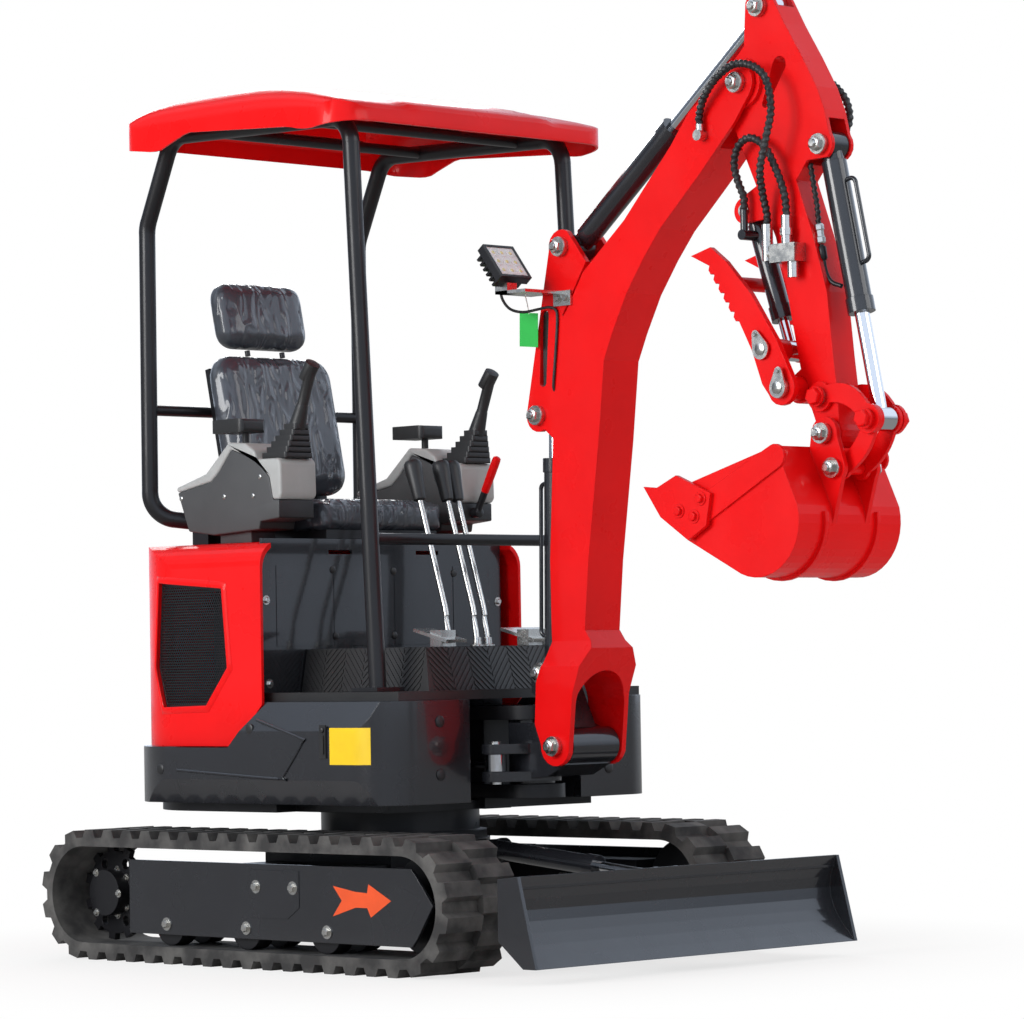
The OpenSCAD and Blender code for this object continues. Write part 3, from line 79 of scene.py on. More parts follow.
def add_camera():
    cos_p = math.cos(CAM_PITCH)
    back = Vector((math.sin(CAM_TURN) * cos_p, -math.cos(CAM_TURN) * cos_p, -math.sin(CAM_PITCH)))
    right = Vector((math.cos(CAM_TURN), math.sin(CAM_TURN), 0.0))
    up = back.cross(right)
    c = math.cos(CAM_ROLL)
    s = math.sin(CAM_ROLL)
    x = c * right + s * up
    y = c * up - s * right
    data = bpy.data.cameras.new("camera")
    data.sensor_fit = "HORIZONTAL"
    data.sensor_width = SENSOR
    data.lens = CAM_LENS
    data.clip_end = 200.0
    camera = new_object("camera", data)
    place = Matrix((x, y, back)).transposed().to_4x4()
    place.translation = CAM_TARGET + CAM_DISTANCE * back
    camera.matrix_world = place
    bpy.context.scene.camera = camera


# Shader nodes


def wire(tree, node, inputs):
    """Each input of a node takes a value or the output of another node."""
    for name, given in inputs.items():
        if isinstance(given, bpy.types.NodeSocket):
            tree.links.new(given, node.inputs[name])
        else:
            node.inputs[name].default_value = given


def add_node(tree, kind, inputs=None):
    node = tree.nodes.new(kind)
    wire(tree, node, inputs or {})
    return node


def math_of(tree, operation, first, second):
    node = add_node(tree, "ShaderNodeMath", {0: first, 1: second})
    node.operation = operation
    return node.outputs[0]


def mix_of(tree, share, first, second):
    return add_node(tree, "ShaderNodeMixShader", {0: share, 1: first.outputs[0], 2: second.outputs[0]})


def noise_of(tree, scale, detail=4.0):
    """Noise in the object's own metres."""
    where = add_node(tree, "ShaderNodeTexCoord").outputs["Object"]
    noise = add_node(tree, "ShaderNodeTexNoise", {"Scale": scale, "Detail": detail, "Vector": where})
    return noise.outputs["Fac"]


def ramp_of(tree, factor, stops):
    """A colour ramp over a factor; each stop is a place and a grey or a colour."""
    ramp = tree.nodes.new("ShaderNodeValToRGB")
    while len(ramp.color_ramp.elements) < len(stops):
        ramp.color_ramp.elements.new(0.5)
    for element, (place, value) in zip(ramp.color_ramp.elements, stops):
        element.position = place
        element.color = (*value, 1.0) if hasattr(value, "__len__") else (value, value, value, 1.0)
    tree.links.new(factor, ramp.inputs["Fac"])
    return ramp.outputs["Color"]


# Stage and light

WHITE = (1.0, 1.0, 1.0, 1.0)
SKY = (0.74, 0.84, 1.0, 1.0)
FLOOR_GREY = (0.86, 0.86, 0.86, 1.0)
FLOOR_SIZE = 60.0
FLOOR_GLOW = 0.72
FLOOR_MIRRORED = 0.30
FADE_NEAR = 0.9
FADE_FAR = 1.9
WORLD_LIGHT = 0.56
WALL_STOPS = [(0.40, 0.20), (0.56, 1.3)]
LIGHT_AIM = (0.3, 0.0, 1.1)
# Place, size and power of each light
LIGHTS = {
    "key": ((-0.5, -6.2, 3.0), (3.0, 3.0), 270.0),
    "front": ((5.5, 1.5, 4.0), (3.5, 2.5), 70.0),
    "rear": ((-5.0, 3.5, 4.5), (3.0, 2.5), 140.0),
}


def rays_of(tree, *kinds):
    """One for rays of any of the kinds."""
    path = add_node(tree, "ShaderNodeLightPath")
    seen = path.outputs[kinds[0]]
    for kind in kinds[1:]:
        seen = math_of(tree, "MAXIMUM", seen, path.outputs[kind])
    return seen


def add_world():
    """Even light, a white background, and a studio of bright and dim walls for what gloss mirrors."""
    world = bpy.data.worlds.new("studio")
    bpy.context.scene.world = world
    world.use_nodes = True
    tree = world.node_tree
    tree.nodes.clear()
    light = add_node(tree, "ShaderNodeBackground", {"Color": WHITE, "Strength": WORLD_LIGHT})
    white = add_node(tree, "ShaderNodeBackground", {"Color": WHITE, "Strength": 1.0})
    glow = ramp_of(tree, noise_of(tree, scale=1.5, detail=1.0), WALL_STOPS)
    walls = add_node(tree, "ShaderNodeBackground", {"Color": SKY, "Strength": glow})
    lit = mix_of(tree, rays_of(tree, "Is Glossy Ray"), light, walls)
    shown = mix_of(tree, rays_of(tree, "Is Camera Ray", "Is Transmission Ray"), lit, white)
    add_node(tree, "ShaderNodeOutputWorld", {"Surface": shown.outputs[0]})


def distance_fade(tree, near, far):
    """Nought near the machine and one from a distance on."""
    where = add_node(tree, "ShaderNodeTexCoord").outputs["Object"]
    reach = add_node(tree, "ShaderNodeVectorMath", {0: where})
    reach.operation = "LENGTH"
    fade = add_node(tree, "ShaderNodeMapRange", {
        "From Min": near, "From Max": far, "Value": reach.outputs["Value"]})
    fade.interpolation_type = "SMOOTHSTEP"
    return fade.outputs["Result"]


def add_floor():
    """White floor: matt with the shadow near the machine, even white further out, dim in what gloss mirrors."""
    mat = bpy.data.materials.new("floor")
    mat.use_nodes = True
    tree = mat.node_tree
    tree.nodes.clear()
    matt = add_node(tree, "ShaderNodeBsdfDiffuse", {"Color": FLOOR_GREY})
    dim = add_node(tree, "ShaderNodeMapRange", {
        "To Min": 1.0, "To Max": FLOOR_MIRRORED, "Value": rays_of(tree, "Is Glossy Ray")})
    white = add_node(tree, "ShaderNodeEmission", {"Color": WHITE, "Strength": dim.outputs["Result"]})
    fade = add_node(tree, "ShaderNodeMapRange", {
        "To Min": FLOOR_GLOW, "Value": distance_fade(tree, FADE_NEAR, FADE_FAR)})
    seen = rays_of(tree, "Is Camera Ray", "Is Glossy Ray", "Is Transmission Ray")
    shown = mix_of(tree, math_of(tree, "MULTIPLY", seen, fade.outputs["Result"]), matt, white)
    add_node(tree, "ShaderNodeOutputMaterial", {"Surface": shown.outputs[0]})
    mesh = bpy.data.meshes.new("floor")
    h = FLOOR_SIZE
    mesh.from_pydata([(-h, -h, 0), (h, -h, 0), (h, h, 0), (-h, h, 0)], [], [(0, 1, 2, 3)])
    mesh.materials.append(mat)
    new_object("floor", mesh)


def add_lights():
    for name, (place, size, power) in LIGHTS.items():
        data = bpy.data.lights.new(name, "AREA")
        data.shape = "RECTANGLE"
        data.size, data.size_y = size
        data.energy = power
        lamp = new_object(name, data)
        lamp.location = place
        lamp.rotation_euler = (Vector(LIGHT_AIM) - Vector(place)).to_track_quat("-Z", "Y").to_euler()


# Materials

LOW_STOP = 0.3
HIGH_STOP = 0.7
DUST_START = 0.38
DUST_FULL = 0.72
RED = (0.78, 0.003, 0.004)
CHARCOAL = (0.014, 0.015, 0.019)
BLACK = (0.011, 0.011, 0.013)
VINYL = (0.034, 0.040, 0.053)
# Colour, roughness, clear coat and shine
PAINTS = {
    "red_paint": (RED, 0.30, 0.16, 0.14),
    "black_paint": (CHARCOAL, 0.24, 0.7, 0.4),
    "black_steel": (BLACK, 0.34, 0.15, 0.28),
}
# Colour, colour of the dust and roughness
RUBBERS = {
    "track_rubber": ((0.030, 0.029, 0.029), (0.11, 0.107, 0.103), 0.82),
    "hose_rubber": ((0.010, 0.010, 0.011), (0.030, 0.030, 0.031), 0.45),
}
# Colour, roughness and grain
METALS = {
    "zinc_steel": ((0.60, 0.59, 0.56), 0.25, 0.03),
    "chrome_rod": ((0.70, 0.71, 0.73), 0.09, 0.0),
    "engine_grey": ((0.14, 0.145, 0.15), 0.55, 0.3),
}
PLASTICS = {
    "seat_vinyl": ((0.020, 0.021, 0.025), 0.38, 0.2),
    "grey_plastic": ((0.37, 0.38, 0.38), 0.42, 0.15),
    "black_plastic": ((0.017, 0.017, 0.018), 0.42, 0.2),
    "mat_rubber": ((0.020, 0.020, 0.021), 0.42, 0.2),
    "console_grey": ((0.060, 0.061, 0.064), 0.45, 0.3),
}
# Colour and roughness
LABELS = {
    "arrow_orange": ((0.80, 0.085, 0.012), 0.4),
    "label_yellow": ((0.84, 0.56, 0.005), 0.35),
    "tag_green": ((0.012, 0.46, 0.06), 0.5),
    "tie_white": ((0.80, 0.80, 0.78), 0.45),
    "lens": ((0.86, 0.89, 0.92), 0.10),
    "lens_core": ((0.80, 0.74, 0.40), 0.30),
}


def shader(name, color, rough, metallic=0.0):
    """A new material with its principled shader and node tree."""
    mat = bpy.data.materials.new(name)
    mat.use_nodes = True
    tree = mat.node_tree
    bsdf = tree.nodes["Principled BSDF"]
    wire(tree, bsdf, {"Base Color": (*color, 1.0), "Roughness": rough, "Metallic": metallic})
    return mat, tree, bsdf


def bump_from(tree, bsdf, height, strength, distance, edge=0.0):
    """Bump from a height; edges are rounded by the radius edge."""
    bump = add_node(tree, "ShaderNodeBump", {"Strength": strength, "Distance": distance, "Height": height})
    if edge:
        soft = add_node(tree, "ShaderNodeBevel", {"Radius": edge})
        wire(tree, bump, {"Normal": soft.outputs["Normal"]})
    wire(tree, bsdf, {"Normal": bump.outputs["Normal"]})


def vary(tree, bsdf, color, spread, scale):
    """Slow change of the base colour over the surface."""
    dark = tuple(v * (1.0 - spread) for v in color)
    pale = tuple(min(1.0, v * (1.0 + spread) + 0.01 * spread) for v in color)
    shade = ramp_of(tree, noise_of(tree, scale), [(LOW_STOP, dark), (HIGH_STOP, pale)])
    wire(tree, bsdf, {"Base Color": shade})


def vary_gloss(tree, bsdf, noise, least, most):
    """Slow change of the roughness over the surface."""
    wire(tree, bsdf, {"Roughness": ramp_of(tree, noise, [(LOW_STOP, least), (HIGH_STOP, most)])})


def paint(name, color, rough, coat, shine):
    """Sprayed paint with a clear coat, faint orange peel and slow changes of gloss."""
    mat, tree, bsdf = shader(name, color, rough)
    wire(tree, bsdf, {"Specular IOR Level": shine, "Coat Weight": coat, "Coat Roughness": 0.06})
    vary(tree, bsdf, color, spread=0.05, scale=6.0)
    vary_gloss(tree, bsdf, noise_of(tree, scale=9.0), least=rough * 0.8, most=rough * 1.25)
    peel = noise_of(tree, scale=420.0, detail=2.0)
    bump_from(tree, bsdf, peel, strength=0.03, distance=0.001, edge=0.003)
    return mat


def rubber(name, color, dust, rough):
    """Moulded rubber with pale dust in patches."""
    mat, tree, bsdf = shader(name, color, rough)
    patches = noise_of(tree, scale=14.0, detail=8.0)
    wire(tree, bsdf, {"Base Color": ramp_of(tree, patches, [(DUST_START, color), (DUST_FULL, dust)])})
    bump_from(tree, bsdf, noise_of(tree, scale=160.0, detail=6.0), strength=0.25, distance=0.002)
    return mat


def metal(name, color, rough, grain):
    """Bare metal with fine grain."""
    mat, tree, bsdf = shader(name, color, rough, metallic=1.0)
    vary_gloss(tree, bsdf, noise_of(tree, scale=60.0, detail=5.0), least=rough * 0.75, most=rough * 1.3)
    bump_from(tree, bsdf, noise_of(tree, scale=700.0, detail=3.0), strength=grain, distance=0.0006)
    return mat


def plastic(name, color, rough, grain):
    """Moulded plastic with a fine grain."""
    mat, tree, bsdf = shader(name, color, rough)
    vary(tree, bsdf, color, spread=0.08, scale=12.0)
    bump_from(tree, bsdf, noise_of(tree, scale=900.0, detail=3.0), strength=grain, distance=0.0008)
    return mat


def plain_label(name, color, rough):
    mat, tree, bsdf = shader(name, color, rough)
    vary(tree, bsdf, color, spread=0.05, scale=20.0)
    return mat


def wrapped_vinyl():
    """Black vinyl under a crinkled clear film."""
    mat, tree, bsdf = shader("wrapped_vinyl", VINYL, rough=0.5)
    vary(tree, bsdf, VINYL, spread=0.2, scale=10.0)
    bump_from(tree, bsdf, noise_of(tree, scale=600.0, detail=3.0), strength=0.2, distance=0.001)
    where = add_node(tree, "ShaderNodeTexCoord").outputs["Object"]
    turned = add_node(tree, "ShaderNodeMapping", {
        "Rotation": (0.5, 0.3, 0.6), "Scale": (1.0, 1.9, 0.8), "Vector": where})
    creases = add_node(tree, "ShaderNodeTexNoise", {
        "Scale": 14.0, "Detail": 3.0, "Distortion": 1.1, "Vector": turned.outputs["Vector"]})
    creases.noise_type = "RIDGED_MULTIFRACTAL"
    film = add_node(tree, "ShaderNodeBump", {
        "Strength": 0.8, "Distance": 0.02, "Height": creases.outputs["Fac"]})
    wire(tree, bsdf, {"Coat Weight": 0.9, "Coat Roughness": 0.10, "Coat Normal": film.outputs["Normal"]})
    return mat


def make_materials():
    mats = {"wrapped_vinyl": wrapped_vinyl()}
    kinds = ((paint, PAINTS), (rubber, RUBBERS), (metal, METALS), (plastic, PLASTICS), (plain_label, LABELS))
    for make, table in kinds:
        for name, values in table.items():
            mats[name] = make(name, *values)
    return mats


SLOT_OF = {part["node"]: part["material_slot"] for part in frame["record"]["subparts"]}


def dress_nodes():
    """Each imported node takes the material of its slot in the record."""
    for node, slot in SLOT_OF.items():
        NODES[node].data.materials.clear()
        NODES[node].data.materials.append(MATS[slot])


# Mesh building

SMOOTH_ANGLE = 38.0
SOFT_ANGLE = 50.0
BOLT_TURN = 0.3


def axes_across(axis):
    """Two unit vectors square to an axis."""
    z = Vector(axis).normalized()
    side = Vector((0, 0, 1)) if abs(z.z) < 0.9 else Vector((1, 0, 0))
    x = side.cross(z).normalized()
    return x, z.cross(x)


def circle_at(centre, axis, radius, sides, turn=0.0):
    x, y = axes_across(axis)
    angles = [turn + 2 * PI * i / sides for i in range(sides)]
    return [Vector(centre) + radius * (math.cos(a) * x + math.sin(a) * y) for a in angles]


class Shape:
    """A mesh under construction, in metres of the frame."""

    def __init__(self):
        self.bm = bmesh.new()

    def loft(self, rings, caps=True):
        """A skin over closed rings of equal counts."""
        rows = [[self.bm.verts.new(p) for p in ring] for ring in rings]
        count = len(rows[0])
        for low, high in zip(rows, rows[1:]):
            for i in range(count):
                j = (i + 1) % count
                self.bm.faces.new((low[i], low[j], high[j], high[i]))
        if caps:
            self.bm.faces.new(list(reversed(rows[0])))
            self.bm.faces.new(rows[-1])

    def prism(self, outline, depth):
        """An outline of points in space, pushed along the vector depth."""
        low = [Vector(p) for p in outline]
        self.loft([low, [p + Vector(depth) for p in low]])

    def box(self, low, high):
        (x0, y0, z0), (x1, y1, z1) = low, high
        self.prism([(x0, y0, z0), (x1, y0, z0), (x1, y1, z0), (x0, y1, z0)], (0, 0, z1 - z0))

    def lathe(self, base, axis, profile, sides=24, turn=0.0):
        """Rings along an axis; the profile holds distances and radii."""
        along = Vector(axis).normalized()
        self.loft([circle_at(Vector(base) + d * along, axis, r, sides, turn) for d, r in profile])

    def bolt(self, base, axis, radius, height):
        """A washer and a hexagon head with a chamfered top."""
        self.lathe(base, axis, [(0, radius * 1.55), (height * 0.22, radius * 1.55)])
        head = [(height * 0.2, radius), (height * 0.85, radius), (height, radius * 0.8)]
        self.lathe(base, axis, head, 6, BOLT_TURN)

    def tube(self, path, radius, sides=10, wave=None):
        """A tube along a path; wave gives the change of radius at a length and an angle."""
        points = [Vector(p) for p in path]
        tangents = [(b - a).normalized() for a, b in zip(points, points[1:])]
        tangents.append(tangents[-1])
        x, _ = axes_across(tangents[0])
        rings = []
        run = 0.0
        for i, (p, t) in enumerate(zip(points, tangents)):
            x = (x - x.dot(t) * t).normalized()
            y = t.cross(x)
            run += (p - points[i - 1]).length if i else 0.0
            ring = []
            for k in range(sides):
                a = 2 * PI * k / sides
                r = radius + (wave(run, a) if wave else 0.0)
                ring.append(p + r * (math.cos(a) * x + math.sin(a) * y))
            rings.append(ring)
        self.loft(rings)

    def piece(self, name, look, body="house", slot=None, smooth=SMOOTH_ANGLE):
        """The finished object, riding on a body of the frame unless no body is given.

        The slot, named or taken from a look that is a slot of the record, is not used.
        """
        bmesh.ops.recalc_face_normals(self.bm, faces=self.bm.faces)
        mesh = bpy.data.meshes.new(name)
        self.bm.to_mesh(mesh)
        self.bm.free()
        mesh.polygons.foreach_set("use_smooth", [True] * len(mesh.polygons))
        mesh.set_sharp_from_angle(angle=math.radians(smooth))
        mesh.materials.append(MATS[look])
        obj = new_object(name, mesh)
        if body:
            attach(obj, body)
        if not slot and look in SLOT_OF.values():
            slot = look
        return obj


def smooth_path(points, step):
    """A Catmull-Rom curve through points, sampled at about a step."""
    p = [Vector(q) for q in points]
    p = [2 * p[0] - p[1]] + p + [2 * p[-1] - p[-2]]
    out = []
    for a, b, c, d in zip(p, p[1:], p[2:], p[3:]):
        count = max(2, round((c - b).length / step))
        square = 2 * a - 5 * b + 4 * c - d
        cube = 3 * b - a - 3 * c + d
        for i in range(count):
            t = i / count
            out.append(0.5 * (2 * b + (c - a) * t + square * t * t + cube * t ** 3))
    return out + [p[-2]]


def upright(x0, x1, z0, z1, y):
    """Outline of an upright rectangle at a distance from the machine's middle."""
    return [(x0, y, z0), (x1, y, z0), (x1, y, z1), (x0, y, z1)]


# Seat pads

PAD_VOXEL = 0.007
PAD_PRESSURE = 4.0
PAD_FRAMES = 18
PAD_ROUNDS = 10
BACK_LEAN = math.radians(12.0)
# Shrink before the swelling, limit of the swelling, lean and radius of the corners
SEAT_PADS = {
    "seat_cushion": (0.006, 0.010, 0.0, 0.0),
    "seat_back": (0.006, 0.010, BACK_LEAN, 0.060),
    "headrest": (0.005, 0.009, BACK_LEAN, 0.046),
}


def take_mesh(obj):
    """The object's mesh with its modifiers applied becomes its own."""
    shown = bpy.context.evaluated_depsgraph_get()
    mesh = bpy.data.meshes.new_from_object(obj.evaluated_get(shown))
    obj.modifiers.clear()
    obj.data = mesh


def inflate(obj, limit):
    """Cloth pressure swells the pad outwards; no point moves further than the limit."""
    before = np.array([v.co for v in obj.data.vertices])
    outward = np.array([v.normal for v in obj.data.vertices])
    cloth = obj.modifiers.new("cloth", "CLOTH")
    cloth.settings.use_pressure = True
    cloth.settings.uniform_pressure_force = PAD_PRESSURE
    cloth.settings.tension_stiffness = 12.0
    cloth.settings.effector_weights.gravity = 0.0
    cloth.point_cache.frame_end = PAD_FRAMES
    scene = bpy.context.scene
    for number in range(1, PAD_FRAMES + 1):
        scene.frame_set(number)
    take_mesh(obj)
    scene.frame_set(1)
    after = np.array([v.co for v in obj.data.vertices])
    swell = ((after - before) * outward).sum(axis=1, keepdims=True)
    after = before + np.clip(swell, 0.0, limit) * outward
    obj.data.vertices.foreach_set("co", after.ravel())


def round_corners(points, lean, radius):
    """Round the four corners of a pad as seen along its thickness; lean tips its height backwards."""
    up = np.array((-math.sin(lean), 0.0, math.cos(lean)))
    wide = np.array((0.0, 1.0, 0.0))
    moved = points.copy()
    across = points @ wide
    height = points @ up
    a = across - (across.max() + across.min()) / 2
    b = height - (height.max() + height.min()) / 2
    da = np.abs(a) - (a.max() - radius)
    db = np.abs(b) - (b.max() - radius)
    corner = (da > 0) & (db > 0)
    pull = np.maximum(da, db)[corner] / np.hypot(da, db)[corner] - 1.0
    moved[corner] += (np.sign(a) * da)[corner, None] * pull[:, None] * wide
    moved[corner] += (np.sign(b) * db)[corner, None] * pull[:, None] * up
    return moved


def seat_pad(node, shrink, limit, lean, radius):
    """A padded piece in the space of a seat node."""
    obj = new_object(node + "_pad", NODES[node].data.copy())
    bm = bmesh.new()
    bm.from_mesh(obj.data)
    bmesh.ops.remove_doubles(bm, verts=bm.verts, dist=0.0002)
    bm.normal_update()
    bm.to_mesh(obj.data)
    bm.free()
    remesh = obj.modifiers.new("remesh", "REMESH")
    remesh.mode = "VOXEL"
    remesh.voxel_size = PAD_VOXEL
    take_mesh(obj)
    obj.data.update()
    inward = np.array([v.co - shrink * v.normal for v in obj.data.vertices])
    if radius:
        inward = round_corners(inward, lean, radius)
    obj.data.vertices.foreach_set("co", inward.ravel())
    obj.data.update()
    inflate(obj, limit)
    smooth = obj.modifiers.new("smooth", "SMOOTH")
    smooth.factor = 0.5
    smooth.iterations = PAD_ROUNDS
    take_mesh(obj)
    obj.data.polygons.foreach_set("use_smooth", [True] * len(obj.data.polygons))
    obj.data.materials.clear()
    obj.data.materials.append(MATS["wrapped_vinyl"])
    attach(obj, "house")
    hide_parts(node)


# Arrow, panel and bolts of the track guards

SIDES = ((-1, "right"), (1, "left"))
GUARD_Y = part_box("track_guards")[1].y
ARROW = [
    (0.322, 0.206), (0.400, 0.194), (0.440, 0.192), (0.445, 0.213), (0.522, 0.176), (0.452, 0.135),
    (0.440, 0.157), (0.400, 0.157), (0.320, 0.134), (0.352, 0.172),
]
ARROW_THICK = 0.0006
GUARD_PANEL = [(0.025, 0.122), (0.160, 0.122), (0.202, 0.150), (0.202, 0.238), (0.025, 0.238)]
GUARD_PANEL_THICK = 0.0016
GUARD_BOLTS = [(0.0475, 0.197), (0.180, 0.197), (-0.287, 0.096), (0.010, 0.096), (0.300, 0.096)]
GUARD_BOLT = (0.0105, 0.012)


def add_guard_detail():
    for side, end in SIDES:
        y = side * GUARD_Y
        out = Vector((0, side, 0))
        arrow = Shape()
        arrow.prism([(x, y, z) for x, z in ARROW], out * ARROW_THICK)
        arrow.piece("arrow_" + end, "arrow_orange", "undercarriage")
        panel = Shape()
        panel.prism([(x, y, z) for x, z in GUARD_PANEL], out * GUARD_PANEL_THICK)
        panel.piece("guard_panel_" + end, "black_paint", "undercarriage")
        bolts = Shape()
        for x, z in GUARD_BOLTS:
            bolts.bolt((x, y, z), out, *GUARD_BOLT)
        bolts.piece("guard_bolts_" + end, "zinc_steel", "undercarriage")


# Hoses, on the routes of the CAD solids

HOSE_D = 0.020
BOOM_ARM_ROUTE = [
    (1.128, -0.074, 1.968), (1.128, -0.074, 1.988), (1.151, -0.084, 2.024), (1.193, -0.090, 2.063),
    (1.252, -0.092, 2.091), (1.314, -0.094, 2.081), (1.358, -0.098, 2.044), (1.374, -0.102, 1.974),
    (1.358, -0.104, 1.907), (1.334, -0.098, 1.841), (1.319, -0.074, 1.790), (1.317, -0.0578, 1.743),
    (1.317, -0.0578, 1.7193),
]
THUMB_ROUTE = [
    (1.375, -0.0578, 1.7353), (1.375, -0.0578, 1.759), (1.371, -0.062, 1.796), (1.354, -0.068, 1.846),
    (1.330, -0.070, 1.890), (1.300, -0.070, 1.915), (1.268, -0.068, 1.921), (1.238, -0.066, 1.903),
    (1.224, -0.063, 1.866), (1.232, -0.060, 1.826), (1.2468, -0.058, 1.7889), (1.2468, -0.058, 1.7592),
]
ARM_ROUTE = [
    (1.3513, 0.0595, 2.060), (1.371, 0.0595, 2.060), (1.392, 0.0625, 2.054), (1.424, 0.0645, 2.036),
    (1.454, 0.0645, 2.004), (1.466, 0.0645, 1.970), (1.462, 0.0635, 1.940), (1.440, 0.0615, 1.917),
    (1.423, 0.0595, 1.906), (1.4033, 0.0595, 1.906),
]
WRAP_PITCH = 0.014
WRAP_DEPTH = 0.0016
HOSE_STEP = 0.004
ARM_HINGE = (1.236, 2.054)
HOSE_SLIP = 0.028
SLIP_DEPTH = 0.0026


def spiral_wrap(run, angle):
    """Shallow groove that winds around a hose."""
    return WRAP_DEPTH * math.cos(angle - 2 * PI * run / WRAP_PITCH)


def path_length(path):
    return sum((b - a).length for a, b in zip(path, path[1:]))


def hose(node, path, body, wave=spiral_wrap, part="_skin"):
    """A hose, or a part of one, over its CAD solid."""
    shape = Shape()
    shape.tube(path, HOSE_D / 2 - WRAP_DEPTH, 16, wave)
    obj = shape.piece(node + part, "hose_rubber", body)
    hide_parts(node)
    return obj


def add_tip_hose():
    """The hose over the boom's tip: a part on the boom slips into a part on the arm beside the arm's hinge."""
    path = smooth_path(BOOM_ARM_ROUTE, HOSE_STEP)
    x, z = ARM_HINGE
    hinge = min(range(len(path)), key=lambda i: math.hypot(path[i].x - x, path[i].z - z))
    slip = round(HOSE_SLIP / HOSE_STEP)
    inner = path[:hinge + slip]
    slip_start = path_length(path[:hinge - slip])

    def slim_end(run, angle):
        return -SLIP_DEPTH if run > slip_start else spiral_wrap(run, angle)

    hose("boom_arm_hose", inner, "boom", slim_end)
    hose("boom_arm_hose", path[hinge - slip:], "arm", part="_arm_skin")


def add_hoses():
    add_tip_hose()
    to_thumb = hose("thumb_hose", smooth_path(THUMB_ROUTE, HOSE_STEP), None)
    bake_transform(to_thumb)
    hose("arm_hose", smooth_path(ARM_ROUTE, HOSE_STEP), "arm")


BUCKET_HOSE_D = 0.015
BUCKET_HOSE = [
    (1.418, -0.020, 1.852), (1.424, -0.020, 1.820), (1.431, -0.020, 1.782), (1.436, -0.020, 1.755),
    (1.440, -0.020, 1.712),
]
BUCKET_PIPE = [
    (1.447, -0.020, 1.664), (1.453, -0.020, 1.625), (1.460, -0.020, 1.598), (1.474, -0.018, 1.577),
    (1.500, -0.014, 1.566),
]
BUCKET_NUTS = [
    (0.000, 0.0088), (0.003, 0.0112), (0.014, 0.0112), (0.016, 0.0092), (0.030, 0.0092), (0.032, 0.0112),
    (0.043, 0.0112), (0.046, 0.0080),
]
BUCKET_PIPE_R = 0.0052
BUCKET_SLEEVE = [(0.004, 0.0085), (0.006, 0.0098), (0.032, 0.0098), (0.036, 0.0070)]


def add_bucket_hose():
    """Hose, couplings and pipe between the arm and the bucket cylinder, which carries them."""
    path = smooth_path(BUCKET_HOSE, HOSE_STEP)
    line = Shape()
    line.tube(path, BUCKET_HOSE_D / 2 - WRAP_DEPTH, 16, spiral_wrap)
    obj = line.piece("bucket_hose", "hose_rubber", "bucket_barrel")
    top = Vector(BUCKET_HOSE[-1])
    foot = Vector(BUCKET_PIPE[0])
    nuts = Shape()
    nuts.lathe(top, foot - top, BUCKET_NUTS, 6)
    nuts.piece("bucket_hose_nuts", "zinc_steel", "bucket_barrel")
    pipe = Shape()
    pipe.lathe(foot, Vector(BUCKET_PIPE[1]) - foot, BUCKET_SLEEVE, 20)
    pipe.tube(smooth_path(BUCKET_PIPE, HOSE_STEP), BUCKET_PIPE_R, 14)
    pipe.piece("bucket_pipe", "black_steel", "bucket_barrel")


# Seating small pieces on the CAD surfaces

BODY_OF = {node: body for body, names in frame["record"]["behaviour"]["bodies"].items() for node in names}
NODE_OF = {obj.name: node for node, obj in NODES.items()}
RAY_TRIES = 40
RAY_STEP = 0.0002
OUTSIDE_Y = 1.2


def touch(origin, direction):
    """Place and body of the first CAD surface along a ray."""
    shown = bpy.context.evaluated_depsgraph_get()
    start = Vector(origin)
    along = Vector(direction).normalized()
    for _ in range(RAY_TRIES):
        found, place, _, _, obj, _ = bpy.context.scene.ray_cast(shown, start, along)
        if not found:
            break
        if obj.name in NODE_OF:
            return place, BODY_OF[NODE_OF[obj.name]]
        start = place + RAY_STEP * along
    raise RuntimeError("no surface from %s along %s" % (tuple(origin), tuple(direction)))


def side_seat(x, z, side):
    """The surface met from a side of the machine at a height."""
    return touch((x, side * OUTSIDE_Y, z), (0, -side, 0))


def side_bolts(name, spots, side, size, look):
    """Bolts on the surfaces met from a side, all of one body."""
    bolts = Shape()
    for x, z in spots:
        place, body = side_seat(x, z, side)
        bolts.bolt(place, (0, side, 0), *size)
    bolts.piece(name, look, body)


def house_studs(name, spots, side, profile, sides, look):
    """Turned studs on the surfaces of the house met from a side."""
    studs = Shape()
    for x, z in spots:
        studs.lathe(side_seat(x, z, side)[0], (0, side, 0), profile, sides)
    studs.piece(name, look)


# Pins and bolts

ZINC_PINS = {
    "boom_foot_nut": (0.646, 0.525), "boom_ram_base_nut": (0.559, 0.699), "boom_ram_eye_nut": (0.572, 1.321),
    "arm_ram_base_nut": (0.658, 1.722), "tip_nut": (1.236, 2.054), "arm_ram_eye_nut": (1.287, 2.226),
    "bucket_ram_nut": (1.464, 1.891), "bucket_nut": (1.480, 1.232), "ear_nut": (1.507, 1.153),
}
RED_PINS = {"rocker_head": (1.455, 1.317), "linkage_head": (1.597, 1.260)}
FLUSH_PINS = ("boom_foot_nut_left",)
CUTTER_BOLTS = [(1.219, 1.093), (1.152, 1.067), (1.198, 1.053)]
CUTTER_BOLT = (0.0105, 0.010)
# Profile, sides and turn of a washer, a nut and a bolt's rounded end
ZINC_END = [
    ([(-0.001, 0.0235), (0.0022, 0.0235), (0.0028, 0.0229)], 32, 0.0),
    ([(0.002, 0.0165), (0.0145, 0.0165), (0.0160, 0.0142)], 6, 0.4),
    ([(0.0145, 0.0095), (0.0205, 0.0095), (0.0225, 0.0075)], 24, 0.0),
]
